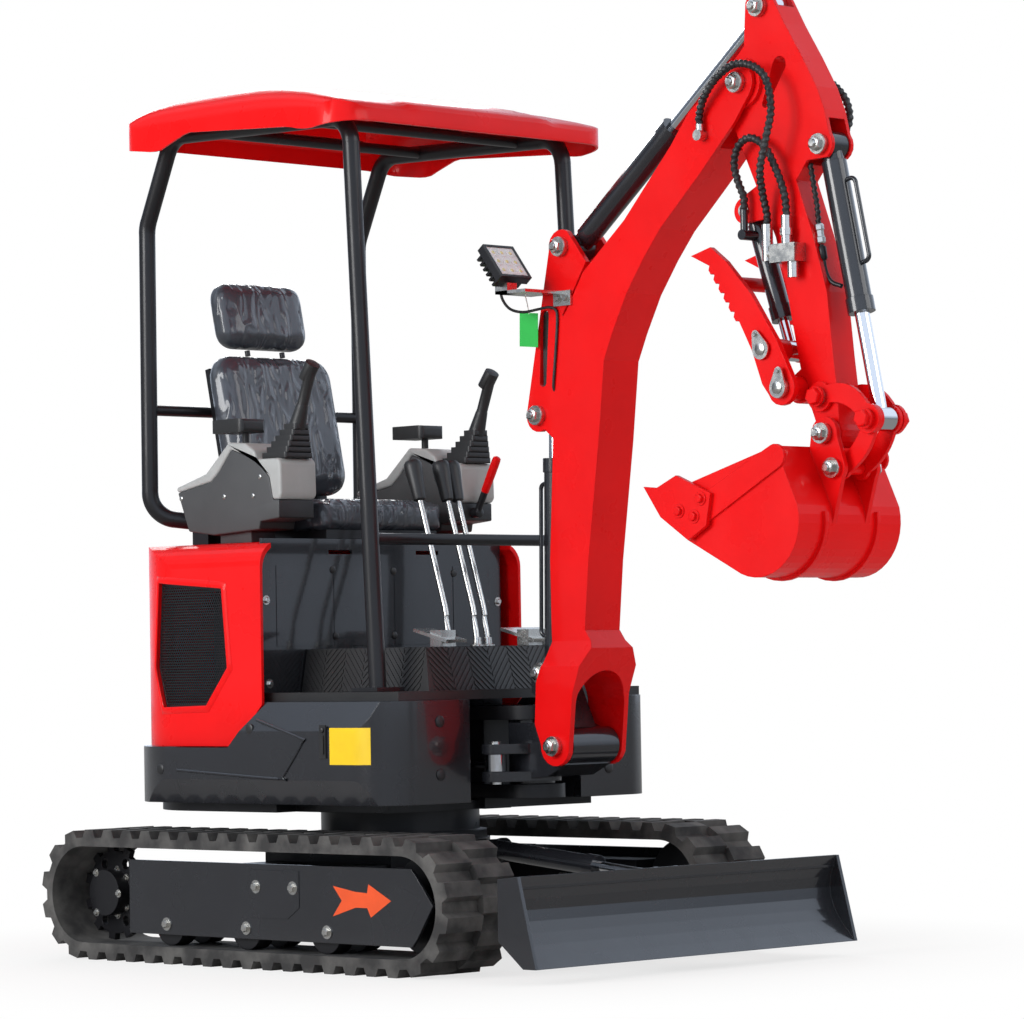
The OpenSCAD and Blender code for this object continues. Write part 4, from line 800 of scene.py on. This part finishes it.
# The same of a washer and a large hexagon head
RED_END = [
    ([(-0.001, 0.024), (0.003, 0.024)], 32, 0.0),
    ([(0.0025, 0.020), (0.0135, 0.020), (0.0155, 0.0175)], 6, 0.2),
]


def pin_end(name, spot, side, turnings, look):
    """Turned pieces on the end of a pin."""
    place, body = side_seat(*spot, side)
    shape = Shape()
    for profile, sides, turn in turnings:
        shape.lathe(place, (0, side, 0), profile, sides, turn)
    shape.piece(name, look, body)


def add_pin_ends():
    for side, end in SIDES:
        for name, spot in ZINC_PINS.items():
            if name + "_" + end not in FLUSH_PINS:
                pin_end(name + "_" + end, spot, side, ZINC_END, "zinc_steel")
        for name, spot in RED_PINS.items():
            pin_end(name + "_" + end, spot, side, RED_END, "red_paint")
        side_bolts("cutter_bolts_" + end, CUTTER_BOLTS, side, CUTTER_BOLT, "red_paint")


def teardrop(x, z, dx, dz, radius, tip_radius):
    """Outline of a retainer plate around a pin and its screw."""
    turn = math.atan2(dz, dx)
    spread = math.acos((radius - tip_radius) / math.hypot(dx, dz))
    points = []
    for i in range(25):
        a = turn + spread + (2 * PI - 2 * spread) * i / 24
        points.append((x + radius * math.cos(a), z + radius * math.sin(a)))
    for i in range(9):
        a = turn - spread + 2 * spread * i / 8
        points.append((x + dx + tip_radius * math.cos(a), z + dz + tip_radius * math.sin(a)))
    return points


THUMB_RETAINERS = {"thumb_eye": (1.333, 1.430, -0.014, 0.034), "thumb_hinge": (1.387, 1.339, 0.003, 0.037)}
RETAINER_R = 0.0235
RETAINER_TIP_R = 0.0105
RETAINER_THICK = 0.0045
RETAINER_FACE = 0.004
RETAINER_CAP = [(0, 0.0145), (0.0022, 0.0145), (0.0032, 0.0130)]
RETAINER_SCREW = (0.0052, 0.0055)


def add_thumb_retainers():
    for side, end in SIDES:
        out = Vector((0, side, 0))
        for name, (x, z, dx, dz) in THUMB_RETAINERS.items():
            place, body = side_seat(x, z, side)
            shape = Shape()
            outline = teardrop(x, z, dx, dz, RETAINER_R, RETAINER_TIP_R)
            shape.prism([(u, place.y, w) for u, w in outline], out * RETAINER_THICK)
            shape.lathe(place + out * RETAINER_FACE, out, RETAINER_CAP, 32)
            screw = Vector((x + dx, place.y, z + dz)) + out * RETAINER_FACE
            shape.bolt(screw, out, *RETAINER_SCREW)
            shape.piece(name + "_retainer_" + end, "zinc_steel", body)


SPROCKET = (-0.5805, 0.1625)
SPROCKET_RING = 0.058
SPROCKET_BOLTS = 9
SPROCKET_BOLT = (0.0065, 0.008)


def add_sprocket_bolts():
    angles = [2 * PI * i / SPROCKET_BOLTS for i in range(SPROCKET_BOLTS)]
    x, z = SPROCKET
    spots = [(x + SPROCKET_RING * math.cos(a), z + SPROCKET_RING * math.sin(a)) for a in angles]
    for side, end in SIDES:
        side_bolts("sprocket_bolts_" + end, spots, side, SPROCKET_BOLT, "zinc_steel")


# Work lamp

LAMP_FACE = Vector((0.580, -0.167, 1.686))
LAMP_TILT = math.radians(38.0)
LAMP_OUT = Vector((math.cos(LAMP_TILT), 0.0, math.sin(LAMP_TILT)))
LAMP_UP = Vector((-math.sin(LAMP_TILT), 0.0, math.cos(LAMP_TILT)))
LAMP_SIDE = Vector((0.0, 1.0, 0.0))
LAMP_HALF = 0.051
LAMP_RIM = 0.006
LED_PITCH = 0.0285
LAMP_RIM_THICK = 0.0035
LAMP_PLATE_THICK = 0.0010
LED_BOWL = [(0.0008, 0.0130), (0.0016, 0.0136), (0.0022, 0.0130), (0.0016, 0.0100), (0.0012, 0.0070)]
LED_DOME = [(0.0010, 0.0050), (0.0022, 0.0045), (0.0030, 0.0030), (0.0033, 0.0010)]


def on_lamp(a, b):
    return LAMP_FACE + a * LAMP_SIDE + b * LAMP_UP


def lamp_plate(shape, a0, a1, b0, b1, thick):
    shape.prism([on_lamp(a0, b0), on_lamp(a1, b0), on_lamp(a1, b1), on_lamp(a0, b1)], LAMP_OUT * thick)


def add_lamp_face():
    """Rim, pale reflector and nine lenses of the work lamp."""
    h = LAMP_HALF
    r = LAMP_HALF - LAMP_RIM
    rim = Shape()
    for bar in ((-h, h, r, h), (-h, h, -h, -r), (-h, -r, -r, r), (r, h, -r, r)):
        lamp_plate(rim, *bar, LAMP_RIM_THICK)
    rim.piece("lamp_rim", "black_plastic", "boom")
    steps = [(i * LED_PITCH, j * LED_PITCH) for i in (-1, 0, 1) for j in (-1, 0, 1)]
    plate = Shape()
    lamp_plate(plate, -r, r, -r, r, LAMP_PLATE_THICK)
    cores = Shape()
    for a, b in steps:
        plate.lathe(on_lamp(a, b), LAMP_OUT, LED_BOWL, 20)
        cores.lathe(on_lamp(a, b), LAMP_OUT, LED_DOME, 14)
    plate.piece("lamp_reflector", "lens", "boom")
    cores.piece("lamp_chips", "lens_core", "boom")


# Levers

LEVER_Y = (-0.060, 0.036, 0.072)
LEVER_FOOT = 0.250
LEVER_AXIS = Vector((-0.3086, 0.0523, 0.9497))
LEVER_SEAT = 0.005
LEVER_BEND = Vector((-0.014, 0.003, 0.085))
LEVER_BEND_R = 0.012
LEVER_STEP = 0.05
LEVER_BEND_STEP = 0.006
LEVER_R = 0.0070
LEVER_COLLAR = [(0.0, 0.017), (0.006, 0.017), (0.008, 0.011), (0.024, 0.010)]
KNOB = [
    (0.380, 0.0090), (0.383, 0.0150), (0.388, 0.0164), (0.420, 0.0188), (0.455, 0.0222), (0.470, 0.0229),
    (0.479, 0.0218), (0.4845, 0.0180), (0.4865, 0.0090),
]
SAFETY_FOOT = Vector((-0.0117, 0.300, 1.112))
SAFETY_AXIS = Vector((math.sin(math.radians(29.0)), 0.0, math.cos(math.radians(29.0))))
SAFETY_GRIP = [
    (0.060, 0.0096), (0.063, 0.0105), (0.110, 0.0112), (0.148, 0.0112), (0.157, 0.0100), (0.160, 0.0060),
]
SAFETY_STEM = [(-0.004, 0.0092), (0.061, 0.0092)]
SAFETY_BOSS_X = -0.0145
SAFETY_BOSS = [(0, 0.0134), (0.024, 0.0134), (0.0255, 0.011)]


def add_lever_grips():
    foot_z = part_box("control_levers")[0].z + LEVER_SEAT
    bars = Shape()
    for i, y in enumerate(LEVER_Y):
        foot = Vector((LEVER_FOOT, y, foot_z))
        knob = Shape()
        knob.lathe(foot, LEVER_AXIS, KNOB, 28)
        knob.piece("lever_knob_%d" % i, "black_plastic")
        bend = foot + LEVER_BEND
        top = foot + KNOB[2][0] * LEVER_AXIS
        bend_in = bend + LEVER_BEND_R * (foot - bend).normalized()
        bend_out = bend + LEVER_BEND_R * (top - bend).normalized()
        path = smooth_path([foot, bend_in], LEVER_STEP)
        path += smooth_path([bend_in, bend_out], LEVER_BEND_STEP)
        bars.tube(path + [top], LEVER_R, 16)
        bars.lathe(foot - Vector((0, 0, LEVER_SEAT)), (0, 0, 1), LEVER_COLLAR, 24)
    levers = bars.piece("lever_bars", "zinc_steel")
    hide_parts("control_levers")
    grip = Shape()
    grip.lathe(SAFETY_FOOT, SAFETY_AXIS, SAFETY_GRIP, 24)
    grip.piece("safety_grip", "red_paint")
    stem = Shape()
    stem.lathe(SAFETY_FOOT, SAFETY_AXIS, SAFETY_STEM, 24)
    stem.lathe(SAFETY_FOOT + Vector((SAFETY_BOSS_X, 0, 0)), (1, 0, 0), SAFETY_BOSS, 28)
    stem.piece("safety_stem", "black_steel")


# Consoles, skirts and covers

CONSOLE_SCREWS = [(-0.395, 1.153), (-0.231, 1.152), (-0.122, 1.150), (-0.095, 1.196)]
CONSOLE_SCREW = [(-0.001, 0.0062), (0.0012, 0.0062), (0.0026, 0.0046), (0.0028, 0.0026), (0.0012, 0.0024)]
SKIRT_PLUGS = [(-0.029, 0.576), (-0.367, 0.476)]
SKIRT_PLUG = [(-0.001, 0.013), (0.002, 0.013), (0.0038, 0.0105), (0.004, 0.004)]
SKIRT_Y = 0.475
LATCH = (0.240, 0.545)
LATCH_PLATE = (0.229, 0.251, 0.505, 0.585)
LATCH_PLATE_THICK = 0.004
LATCH_HANDLE = (0.234, 0.246, 0.515, 0.560)
LATCH_HANDLE_THICK = 0.0075
LATCH_LOCK_Z = 0.573
LATCH_LOCK = [(0.003, 0.0065), (0.0075, 0.0065), (0.0085, 0.005)]
CORNER = (0.340, 0.365, 0.110)
LABEL = (0.262, 0.490, 0.578)
LABEL_WRAP = math.radians(28.0)
LABEL_SINK = 0.0003
LABEL_THICK = 0.0011


def add_console_screws():
    for side, end in SIDES:
        house_studs("console_screws_" + end, CONSOLE_SCREWS, side, CONSOLE_SCREW, 20, "zinc_steel")


def corner_path(start_x, wrap):
    """Plan points along the right skirt's flat side and round its front corner."""
    cx, cy, r = CORNER
    points = [(start_x + (cx - start_x) * i / 6, -(cy + r)) for i in range(7)]
    for i in range(1, 9):
        a = wrap * i / 8
        points.append((cx + r * math.sin(a), -(cy + r * math.cos(a))))
    return points


def add_label():
    """Blank yellow plate that wraps the skirt's front corner."""
    x0, z0, z1 = LABEL
    cx, cy, _ = CORNER
    rings = []
    for x, y in corner_path(x0, LABEL_WRAP):
        out = Vector((x - cx, y + cy, 0)).normalized() if x > cx else Vector((0, -1, 0))
        base = Vector((x, y, 0)) - LABEL_SINK * out
        face = base + LABEL_THICK * out
        corners = ((base, z0), (face, z0), (face, z1), (base, z1))
        rings.append([p + Vector((0, 0, z)) for p, z in corners])
    plate = Shape()
    plate.loft(rings)
    plate.piece("corner_plate", "label_yellow")


def add_skirt_detail():
    for side, end in SIDES:
        house_studs("skirt_plugs_" + end, SKIRT_PLUGS, side, SKIRT_PLUG, 28, "black_plastic")
        y = side_seat(*LATCH, side)[0].y
        out = Vector((0, side, 0))
        latch = Shape()
        latch.prism(upright(*LATCH_PLATE, y), out * LATCH_PLATE_THICK)
        latch.prism(upright(*LATCH_HANDLE, y), out * LATCH_HANDLE_THICK)
        latch.lathe((LATCH[0], y, LATCH_LOCK_Z), out, LATCH_LOCK, 20)
        latch.piece("skirt_latch_" + end, "black_plastic")


# Herringbone ribs on the operator's step

RIB_WIDTH = 0.0060
RIB_HEIGHT = 0.0018
RIB_COLUMN = 0.066
RIB_ROW = 0.0185
RIB_END = 0.002
RIB_LEAST = 0.004
SPARE_ROWS = 5


def clip_to_field(points, width, height):
    """A convex outline cut to the rectangle of a field."""
    for axis, limit, keep in ((0, 0.0, 1), (0, width, -1), (1, 0.0, 1), (1, height, -1)):
        kept = []
        for p, q in zip(points, points[1:] + points[:1]):
            a = keep * (p[axis] - limit)
            b = keep * (q[axis] - limit)
            if a >= 0:
                kept.append(p)
            if a * b < 0:
                t = a / (a - b)
                kept.append((p[0] + t * (q[0] - p[0]), p[1] + t * (q[1] - p[1])))
        points = kept
    return points


def herringbone(shape, corner, across, up, width, height):
    """Ribs at plus and minus 45 degrees in turn, on a flat field."""
    u = Vector(across).normalized()
    v = Vector(up).normalized()
    n = u.cross(v)
    thick = RIB_WIDTH / 2 * math.sqrt(2)
    columns = round(width / RIB_COLUMN)
    step = width / columns
    for i in range(columns):
        lean = step if i % 2 else -step
        u0 = i * step + RIB_END
        u1 = (i + 1) * step - RIB_END
        for j in range(-SPARE_ROWS, int(height / RIB_ROW) + SPARE_ROWS + 1):
            v0 = j * RIB_ROW
            bar = [(u0, v0 - thick), (u1, v0 + lean - thick), (u1, v0 + lean + thick), (u0, v0 + thick)]
            bar = clip_to_field(bar, width, height)
            if len(bar) < 3 or max(q[1] for q in bar) - min(q[1] for q in bar) < RIB_LEAST:
                continue
            low = [Vector(corner) + a * u + b * v for a, b in bar]
            shape.prism(low, RIB_HEIGHT * n)


STEP_Z = (0.6623, 0.7663)
STEP_FRONT = (0.415, 0.385)
STEP_HALF = (0.290, 0.270)
STEP_BACK = -0.034


def add_mat_ribs():
    ribs = Shape()
    z0, z1 = STEP_Z
    x0, x1 = STEP_FRONT
    w0, w1 = STEP_HALF
    herringbone(ribs, (x1, -w1, z1), (0, 1, 0), (-1, 0, 0), 2 * w1, x1 - STEP_BACK)
    rise = Vector((x1 - x0, 0, z1 - z0))
    herringbone(ribs, (x0, -w1, z0), (0, 1, 0), rise, 2 * w1, rise.length)
    for side in (-1, 1):
        lean = Vector((0, side * (w1 - w0), z1 - z0))
        start = STEP_BACK if side < 0 else x1
        herringbone(ribs, (start, side * w0, z0), (-side, 0, 0), lean, x1 - STEP_BACK, lean.length)
    ribs.piece("mat_ribs", "mat_rubber")


# Fine grilles in the side covers

COVER_HALF = 0.450
TAIL_X = -0.330
TAIL_R = 0.270
GRILLE = [
    (-0.398, 0.941), (-0.150, 0.922), (-0.132, 0.725), (-0.213, 0.632), (-0.381, 0.628), (-0.422, 0.728),
]
GRILLE_INSET = 0.0083
MESH_PITCH = 0.0078
MESH_HOLE = 0.0029
MESH_THICK = 0.0016
MESH_MARGIN = 0.001
MESH_START = (-0.43, 0.615)
MESH_HEIGHT = 0.36
MESH_COLUMNS = 40
ROW_SHARE = 0.866
RING_PARTS = 14
# Distance outwards from the grille's outline, and inset behind the mesh's face
BORDER = [(0.006, 0.002), (0.006, -0.0002), (-0.007, -0.0006), (-0.007, 0.002), (0.006, 0.002)]
# Distance outwards, and inset behind the cover's face
BEZEL = [
    (0.0000, 0.0040), (-0.0012, -0.0030), (0.0020, -0.0050), (0.0060, -0.0052), (0.0150, -0.0012),
    (0.0170, 0.0010), (0.0000, 0.0040),
]


def cover_point(side, x, z, inset):
    """A point at an inset behind the face of a side cover, which turns round the tail."""
    turn = min(0.0, x - TAIL_X)
    y = COVER_HALF - TAIL_R + math.sqrt((TAIL_R - inset) ** 2 - turn * turn)
    return Vector((x, side * y, z))


def offset_outline(points, out):
    """A convex outline, listed clockwise, moved outwards."""
    lines = []
    for (x0, z0), (x1, z1) in zip(points, points[1:] + points[:1]):
        length = math.hypot(x1 - x0, z1 - z0)
        nx = -(z1 - z0) / length
        nz = (x1 - x0) / length
        lines.append((nx, nz, nx * x0 + nz * z0 + out))
    moved = []
    for (a, b, c), (d, e, f) in zip(lines[-1:] + lines[:-1], lines):
        det = a * e - b * d
        moved.append(((c * e - b * f) / det, (a * f - c * d) / det))
    return moved


def fine_ring(points, side, out, inset):
    """The outline moved outwards, cut into short lengths and laid on the cover."""
    moved = offset_outline(points, out)
    ring = []
    for (x0, z0), (x1, z1) in zip(moved, moved[1:] + moved[:1]):
        for i in range(RING_PARTS):
            t = i / RING_PARTS
            ring.append(cover_point(side, x0 + t * (x1 - x0), z0 + t * (z1 - z0), inset))
    return ring


def inside(points, x, z, margin):
    """True where a point lies inside a clockwise convex outline by a margin."""
    for (x0, z0), (x1, z1) in zip(points, points[1:] + points[:1]):
        length = math.hypot(x1 - x0, z1 - z0)
        if ((x - x0) * -(z1 - z0) + (z - z0) * (x1 - x0)) / length > -margin:
            return False
    return True


def mesh_cell(shape, side, x, z):
    """One six-sided cell of the perforated sheet, with its round hole."""
    def ring(radius, inset):
        turns = [PI / 6 + PI / 3 * i for i in range(6)]
        return [cover_point(side, x + radius * math.cos(a), z + radius * math.sin(a), inset) for a in turns]
    outer = MESH_PITCH / math.sqrt(3)
    front = GRILLE_INSET
    back = GRILLE_INSET + MESH_THICK
    rows = [ring(outer, front), ring(MESH_HOLE, front), ring(MESH_HOLE, back), ring(outer, back)]
    rows = [[shape.bm.verts.new(p) for p in row] for row in rows]
    for low, high in zip(rows, rows[1:] + rows[:1]):
        for i in range(6):
            j = (i + 1) % 6
            shape.bm.faces.new((low[i], low[j], high[j], high[i]))


def add_grilles():
    x0, z0 = MESH_START
    for side, end in SIDES:
        sheet = Shape()
        for j in range(int(MESH_HEIGHT / (MESH_PITCH * ROW_SHARE))):
            z = z0 + j * MESH_PITCH * ROW_SHARE
            for i in range(MESH_COLUMNS):
                x = x0 + (i + (j % 2) / 2) * MESH_PITCH
                if inside(GRILLE, x, z, MESH_MARGIN):
                    mesh_cell(sheet, side, x, z)
        fine = sheet.piece("grille_mesh_" + end, "black_steel")
        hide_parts("side_grilles")
        border = Shape()
        border.loft([fine_ring(GRILLE, side, out, GRILLE_INSET + inset) for out, inset in BORDER], caps=False)
        border.piece("grille_border_" + end, "black_steel")
        bezel = Shape()
        bezel.loft([fine_ring(GRILLE, side, out, inset) for out, inset in BEZEL], caps=False)
        bezel.piece("grille_bezel_" + end, "red_paint")


# Consoles and joysticks with rounded edges

CORNER_LIMIT = math.radians(32.0)
FRONT_FACING = 0.45
CONSOLE_ROUND = 0.012
JOYSTICK_ROUND = 0.004


def soft_copy(node, look, width, slot=None):
    """A copy of a CAD node of the house with its sharp edges rounded."""
    shape = Shape()
    shape.bm.from_mesh(NODES[node].data)
    bmesh.ops.remove_doubles(shape.bm, verts=shape.bm.verts, dist=0.0001)
    bmesh.ops.dissolve_limit(shape.bm, angle_limit=0.02, verts=shape.bm.verts, edges=shape.bm.edges)
    sharp = [e for e in shape.bm.edges if len(e.link_faces) == 2 and e.calc_face_angle(0.0) > CORNER_LIMIT]
    bmesh.ops.bevel(
        shape.bm, geom=sharp, offset=width, segments=4, profile=0.5, affect="EDGES", clamp_overlap=True)
    obj = shape.piece(node + "_soft", look, slot=slot, smooth=SOFT_ANGLE)
    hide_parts(node)
    return obj


def paint_front_shade(consoles):
    """Painted shade: the faces of the consoles that look forwards, into the hollow under the trim, take black
    plastic.
    """
    consoles.data.materials.append(MATS["black_plastic"])
    for face in consoles.data.polygons:
        if face.normal.x > FRONT_FACING:
            face.material_index = 1


# Bulkhead

BULK_BOLTS = [(-0.400, 0.890), (0.400, 0.884), (-0.392, 0.685), (0.392, 0.685)]
BULK_PLUGS = [(-0.178, 0.965), (0.030, 0.962), (0.242, 0.957), (-0.170, 0.800), (0.030, 0.800), (0.242, 0.800)]
BULK_PANELS = [(-0.366, -0.180), (-0.174, 0.026), (0.034, 0.234), (0.240, 0.366)]
BULK_PANEL_X = (-0.0004, 0.0014)
BULK_PANEL_Z = (0.775, 0.975)
BULK_PLUG = [(0, 0.009), (0.0034, 0.009), (0.0050, 0.006), (0.0051, 0.002)]
BULK_BOLT = (0.0075, 0.008)


def add_bulkhead_detail():
    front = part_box("bulkhead")[1].x
    back_x, face_x = BULK_PANEL_X
    z0, z1 = BULK_PANEL_Z
    panels = Shape()
    for y0, y1 in BULK_PANELS:
        panels.box((front + back_x, y0, z0), (front + face_x, y1, z1))
    panels.piece("bulkhead_panels", "black_paint")
    plugs = Shape()
    for y, z in BULK_PLUGS:
        plugs.lathe((front, y, z), (1, 0, 0), BULK_PLUG, 20)
    plugs.piece("bulkhead_plugs", "black_plastic")
    bolts = Shape()
    for y, z in BULK_BOLTS:
        bolts.bolt((front, y, z), (1, 0, 0), *BULK_BOLT)
    bolts.piece("bulkhead_bolts", "zinc_steel")


# Lamp bracket, cable, blank tag and a dark sheet of painted shade in the boom's slot

BRACKET_PLATES = [
    ((0.5554, -0.1836, 1.6084), (0.6566, -0.0620, 1.6158)),
    ((0.6354, -0.0668, 1.5794), (0.6926, -0.0601, 1.6156)),
    ((0.5554, -0.1836, 1.6084), (0.5966, -0.1504, 1.6440)),
]
BRACKET_BOLTS = [(0.652, -0.0668, 1.597), (0.678, -0.0668, 1.597)]
BRACKET_BOLT = (0.0075, 0.009)
TAG = [(0.530, 1.572), (0.592, 1.566), (0.590, 1.484), (0.528, 1.490)]
TAG_Y = -0.0760
TAG_THICK = 0.0008
# Slot in the boom that a dark sheet of painted shade fills
SLOT = (0.584, 0.620, 1.392, 1.570)
SLOT_Y = -0.052
SLOT_DEPTH = 0.006
TIE = [(0.562, -0.0755, 1.566), (0.563, -0.0790, 1.576), (0.567, -0.0880, 1.594), (0.572, -0.0980, 1.6095)]
TIE_R = 0.0014
TIE_STEP = 0.002
LAMP_CABLE_D = 0.007
LAMP_CABLE = [
    (0.552, -0.160, 1.640), (0.548, -0.158, 1.628), (0.546, -0.150, 1.600), (0.556, -0.134, 1.576),
    (0.578, -0.112, 1.568), (0.606, -0.088, 1.574), (0.628, -0.072, 1.578), (0.642, -0.0648, 1.570),
    (0.645, -0.0638, 1.550), (0.641, -0.0637, 1.500), (0.634, -0.0637, 1.440), (0.629, -0.0637, 1.400),
    (0.627, -0.0620, 1.385), (0.626, -0.0560, 1.376),
]


def add_lamp_bracket():
    skin = Shape()
    for low, high in BRACKET_PLATES:
        skin.box(low, high)
    for place in BRACKET_BOLTS:
        skin.bolt(place, (0, -1, 0), *BRACKET_BOLT)
    skin.piece("lamp_bracket_skin", "zinc_steel", "boom")
    # Dark rubber sheet across the boom's slot: painted shade where the slot would show through
    shade_sheet = Shape()
    x0, x1, z0, z1 = SLOT
    shade_sheet.box((x0, SLOT_Y, z0), (x1, SLOT_Y + SLOT_DEPTH, z1))
    shade_sheet.piece("slot_shade_sheet", "hose_rubber", "boom")
    tag = Shape()
    tag.prism([(x, TAG_Y, z) for x, z in TAG], (0, TAG_THICK, 0))
    tag.piece("hang_tag", "tag_green", "boom")
    tie = Shape()
    tie.tube(smooth_path(TIE, TIE_STEP), TIE_R, 8)
    tie.piece("hang_tag_tie", "tie_white", "boom")
    path = smooth_path(LAMP_CABLE, HOSE_STEP)
    cable = Shape()
    cable.tube(path, LAMP_CABLE_D / 2, 12)
    obj = cable.piece("lamp_cable", "hose_rubber", "boom")


# Ridge and front plugs of the skirts

RIDGE = [(-0.300, 0.474), (0.078, 0.455), (0.094, 0.462), (0.163, 0.541), (0.160, 0.553), (0.000, 0.598)]
RIDGE_R = 0.0038
RIDGE_OUT = 0.0006
RIDGE_STEP = 0.006
FRONT_PLUG_Y = 0.290
FRONT_PLUG_Z = (0.462, 0.589)
FRONT_PLUG = [(-0.002, 0.014), (0.002, 0.014), (0.0040, 0.011), (0.0042, 0.004)]
AHEAD_X = 0.70


def add_skirt_ridges():
    for side, end in SIDES:
        ridge = Shape()
        path = smooth_path([(x, side * (SKIRT_Y + RIDGE_OUT), z) for x, z in RIDGE], RIDGE_STEP)
        ridge.tube(path, RIDGE_R, 10)
        ridge.piece("skirt_ridge_" + end, "black_paint")
        plugs = Shape()
        for z in FRONT_PLUG_Z:
            place, body = touch((AHEAD_X, side * FRONT_PLUG_Y, z), (-1, 0, 0))
            plugs.lathe(place, (1, 0, 0), FRONT_PLUG, 24)
        plugs.piece("front_plugs_" + end, "black_plastic", body)


# Moulded roof

ROOF_X = (-0.516, 0.332)
ROOF_HALF = 0.470
ROOF_CORNER = 0.090
ROOF_CROWN = 2.176
ROOF_SKIN = 0.006
ROOF_MERGE = 0.0004
ROOF_LOW = [
    (-0.516, 2.050), (-0.470, 2.034), (-0.370, 2.021), (-0.340, 2.022), (-0.310, 2.033), (-0.236, 2.057),
    (0.140, 2.033), (0.180, 2.024), (0.215, 2.021), (0.332, 2.036),
]
ROOF_ALONG = [
    (-0.516, 0.078), (-0.490, 0.058), (-0.460, 0.042), (-0.400, 0.022), (-0.330, 0.010), (-0.242, 0.004),
    (-0.116, 0.006), (-0.018, 0.014), (0.080, 0.028), (0.164, 0.044), (0.247, 0.064), (0.300, 0.079),
    (0.322, 0.090), (0.332, 0.102),
]
ROOF_ACROSS = [
    (0.0, 0.0), (0.25, 0.005), (0.38, 0.014), (0.434, 0.027), (0.456, 0.046), (0.466, 0.066), (0.470, 0.086),
]
ROOF_BLEND = 2.4
ROOF_RINGS = (0.0, 0.006, 0.015, 0.03, 0.05, 0.08, 0.12, 0.18, 0.26, 0.36, 0.48, 0.62, 0.78, 0.90, 1.0)
ROOF_SPINE = (-0.30, 0.12)
ARC_PARTS = 10
SIDE_PARTS = 30
PANEL_HALF = 0.255
PANEL_RISE = 0.007
PANEL_EDGE = 0.014
PANEL_START = -0.12
PANEL_RAMP = 0.10
BLOCK_X = (0.100, -0.262)
BLOCK_HALF = (0.015, 0.150)
BLOCK_TOP = 0.003
# The canopy's rail: its height, drop, front end, length and radius
RAIL = (2.056, 0.016, 0.250, 0.662, 0.0143)


def curve_at(table, x):
    return float(np.interp(x, [p[0] for p in table], [p[1] for p in table]))


def roof_top(x, y):
    """Height of the roof's outer skin; drops along and across the roof are joined softly."""
    drops = (curve_at(ROOF_ALONG, x), curve_at(ROOF_ACROSS, abs(y)))
    drop = sum(d ** ROOF_BLEND for d in drops) ** (1 / ROOF_BLEND)
    edge = min(1.0, max(0.0, (PANEL_HALF - abs(y)) / PANEL_EDGE))
    ahead = min(1.0, max(0.0, (x - PANEL_START) / PANEL_RAMP))
    return ROOF_CROWN - PANEL_RISE - drop + PANEL_RISE * edge * ahead


def roof_plan(out):
    """Plan of the roof's rim as a rounded rectangle, moved outwards."""
    x0, x1 = ROOF_X
    c = ROOF_CORNER
    y = ROOF_HALF - c
    centres = ((x1 - c, y), (x0 + c, y), (x0 + c, -y), (x1 - c, -y))
    points = []
    for k, (cx, cy) in enumerate(centres):
        for i in range(ARC_PARTS + 1):
            a = PI / 2 * (k + i / ARC_PARTS)
            points.append((cx + (c + out) * math.cos(a), cy + (c + out) * math.sin(a)))
        start = points[-1]
        nx, ny = centres[(k + 1) % 4]
        end = (nx + (c + out) * math.cos(a), ny + (c + out) * math.sin(a))
        for i in range(1, SIDE_PARTS):
            t = i / SIDE_PARTS
            points.append((start[0] + t * (end[0] - start[0]), start[1] + t * (end[1] - start[1])))
    return points


def roof_ring(plan, share, lower):
    """Points of the skin at a share of the way from the rim to the spine."""
    ring = []
    for x, y in plan:
        sx = min(ROOF_SPINE[1], max(ROOF_SPINE[0], x))
        px = x + share * (sx - x)
        py = y * (1 - share)
        ring.append(Vector((px, py, roof_top(px, py) - lower)))
    return ring


def add_roof():
    """Thin moulded roof with its lobes and the blocks that rest on the cross bars."""
    rim = roof_plan(0.0)
    inner = roof_plan(-ROOF_SKIN)
    outer_low = [Vector((x, y, curve_at(ROOF_LOW, x))) for x, y in rim]
    inner_low = [Vector((x, y, curve_at(ROOF_LOW, x))) for x, y in inner]
    outer = [roof_ring(rim, share, 0.0) for share in ROOF_RINGS]
    inside_skin = [roof_ring(inner, share, ROOF_SKIN) for share in ROOF_RINGS]
    shape = Shape()
    shape.loft([*reversed(inside_skin), inner_low, outer_low, *outer], caps=False)
    bmesh.ops.remove_doubles(shape.bm, verts=shape.bm.verts, dist=ROOF_MERGE)
    bmesh.ops.dissolve_degenerate(shape.bm, dist=ROOF_MERGE, edges=shape.bm.edges)
    rail_z, rail_drop, rail_x, rail_length, rail_r = RAIL
    half_x, half_y = BLOCK_HALF
    for x in BLOCK_X:
        low = rail_z + rail_drop * (rail_x - x) / rail_length + rail_r
        shape.box((x - half_x, -half_y, low), (x + half_x, half_y, roof_top(x, half_y) - BLOCK_TOP))
    obj = shape.piece("roof_skin", "red_paint", smooth=SOFT_ANGLE)
    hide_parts("roof")


add_camera()
add_world()
add_floor()
add_lights()
MATS = make_materials()
dress_nodes()
add_hoses()
add_bucket_hose()
for pad_node, pad_sizes in SEAT_PADS.items():
    seat_pad(pad_node, *pad_sizes)
add_guard_detail()
add_pin_ends()
add_thumb_retainers()
add_sprocket_bolts()
add_lamp_face()
add_lever_grips()
add_console_screws()
add_label()
add_skirt_detail()
add_mat_ribs()
add_roof()
add_grilles()
# The consoles' forward faces get painted shade in black plastic
paint_front_shade(soft_copy("consoles", "console_grey", CONSOLE_ROUND, "black_paint"))
soft_copy("console_trim", "grey_plastic", CONSOLE_ROUND)
soft_copy("joysticks", "black_plastic", JOYSTICK_ROUND)
add_bulkhead_detail()
add_lamp_bracket()
add_skirt_ridges()

bpy.context.scene.view_settings.view_transform = "Standard"
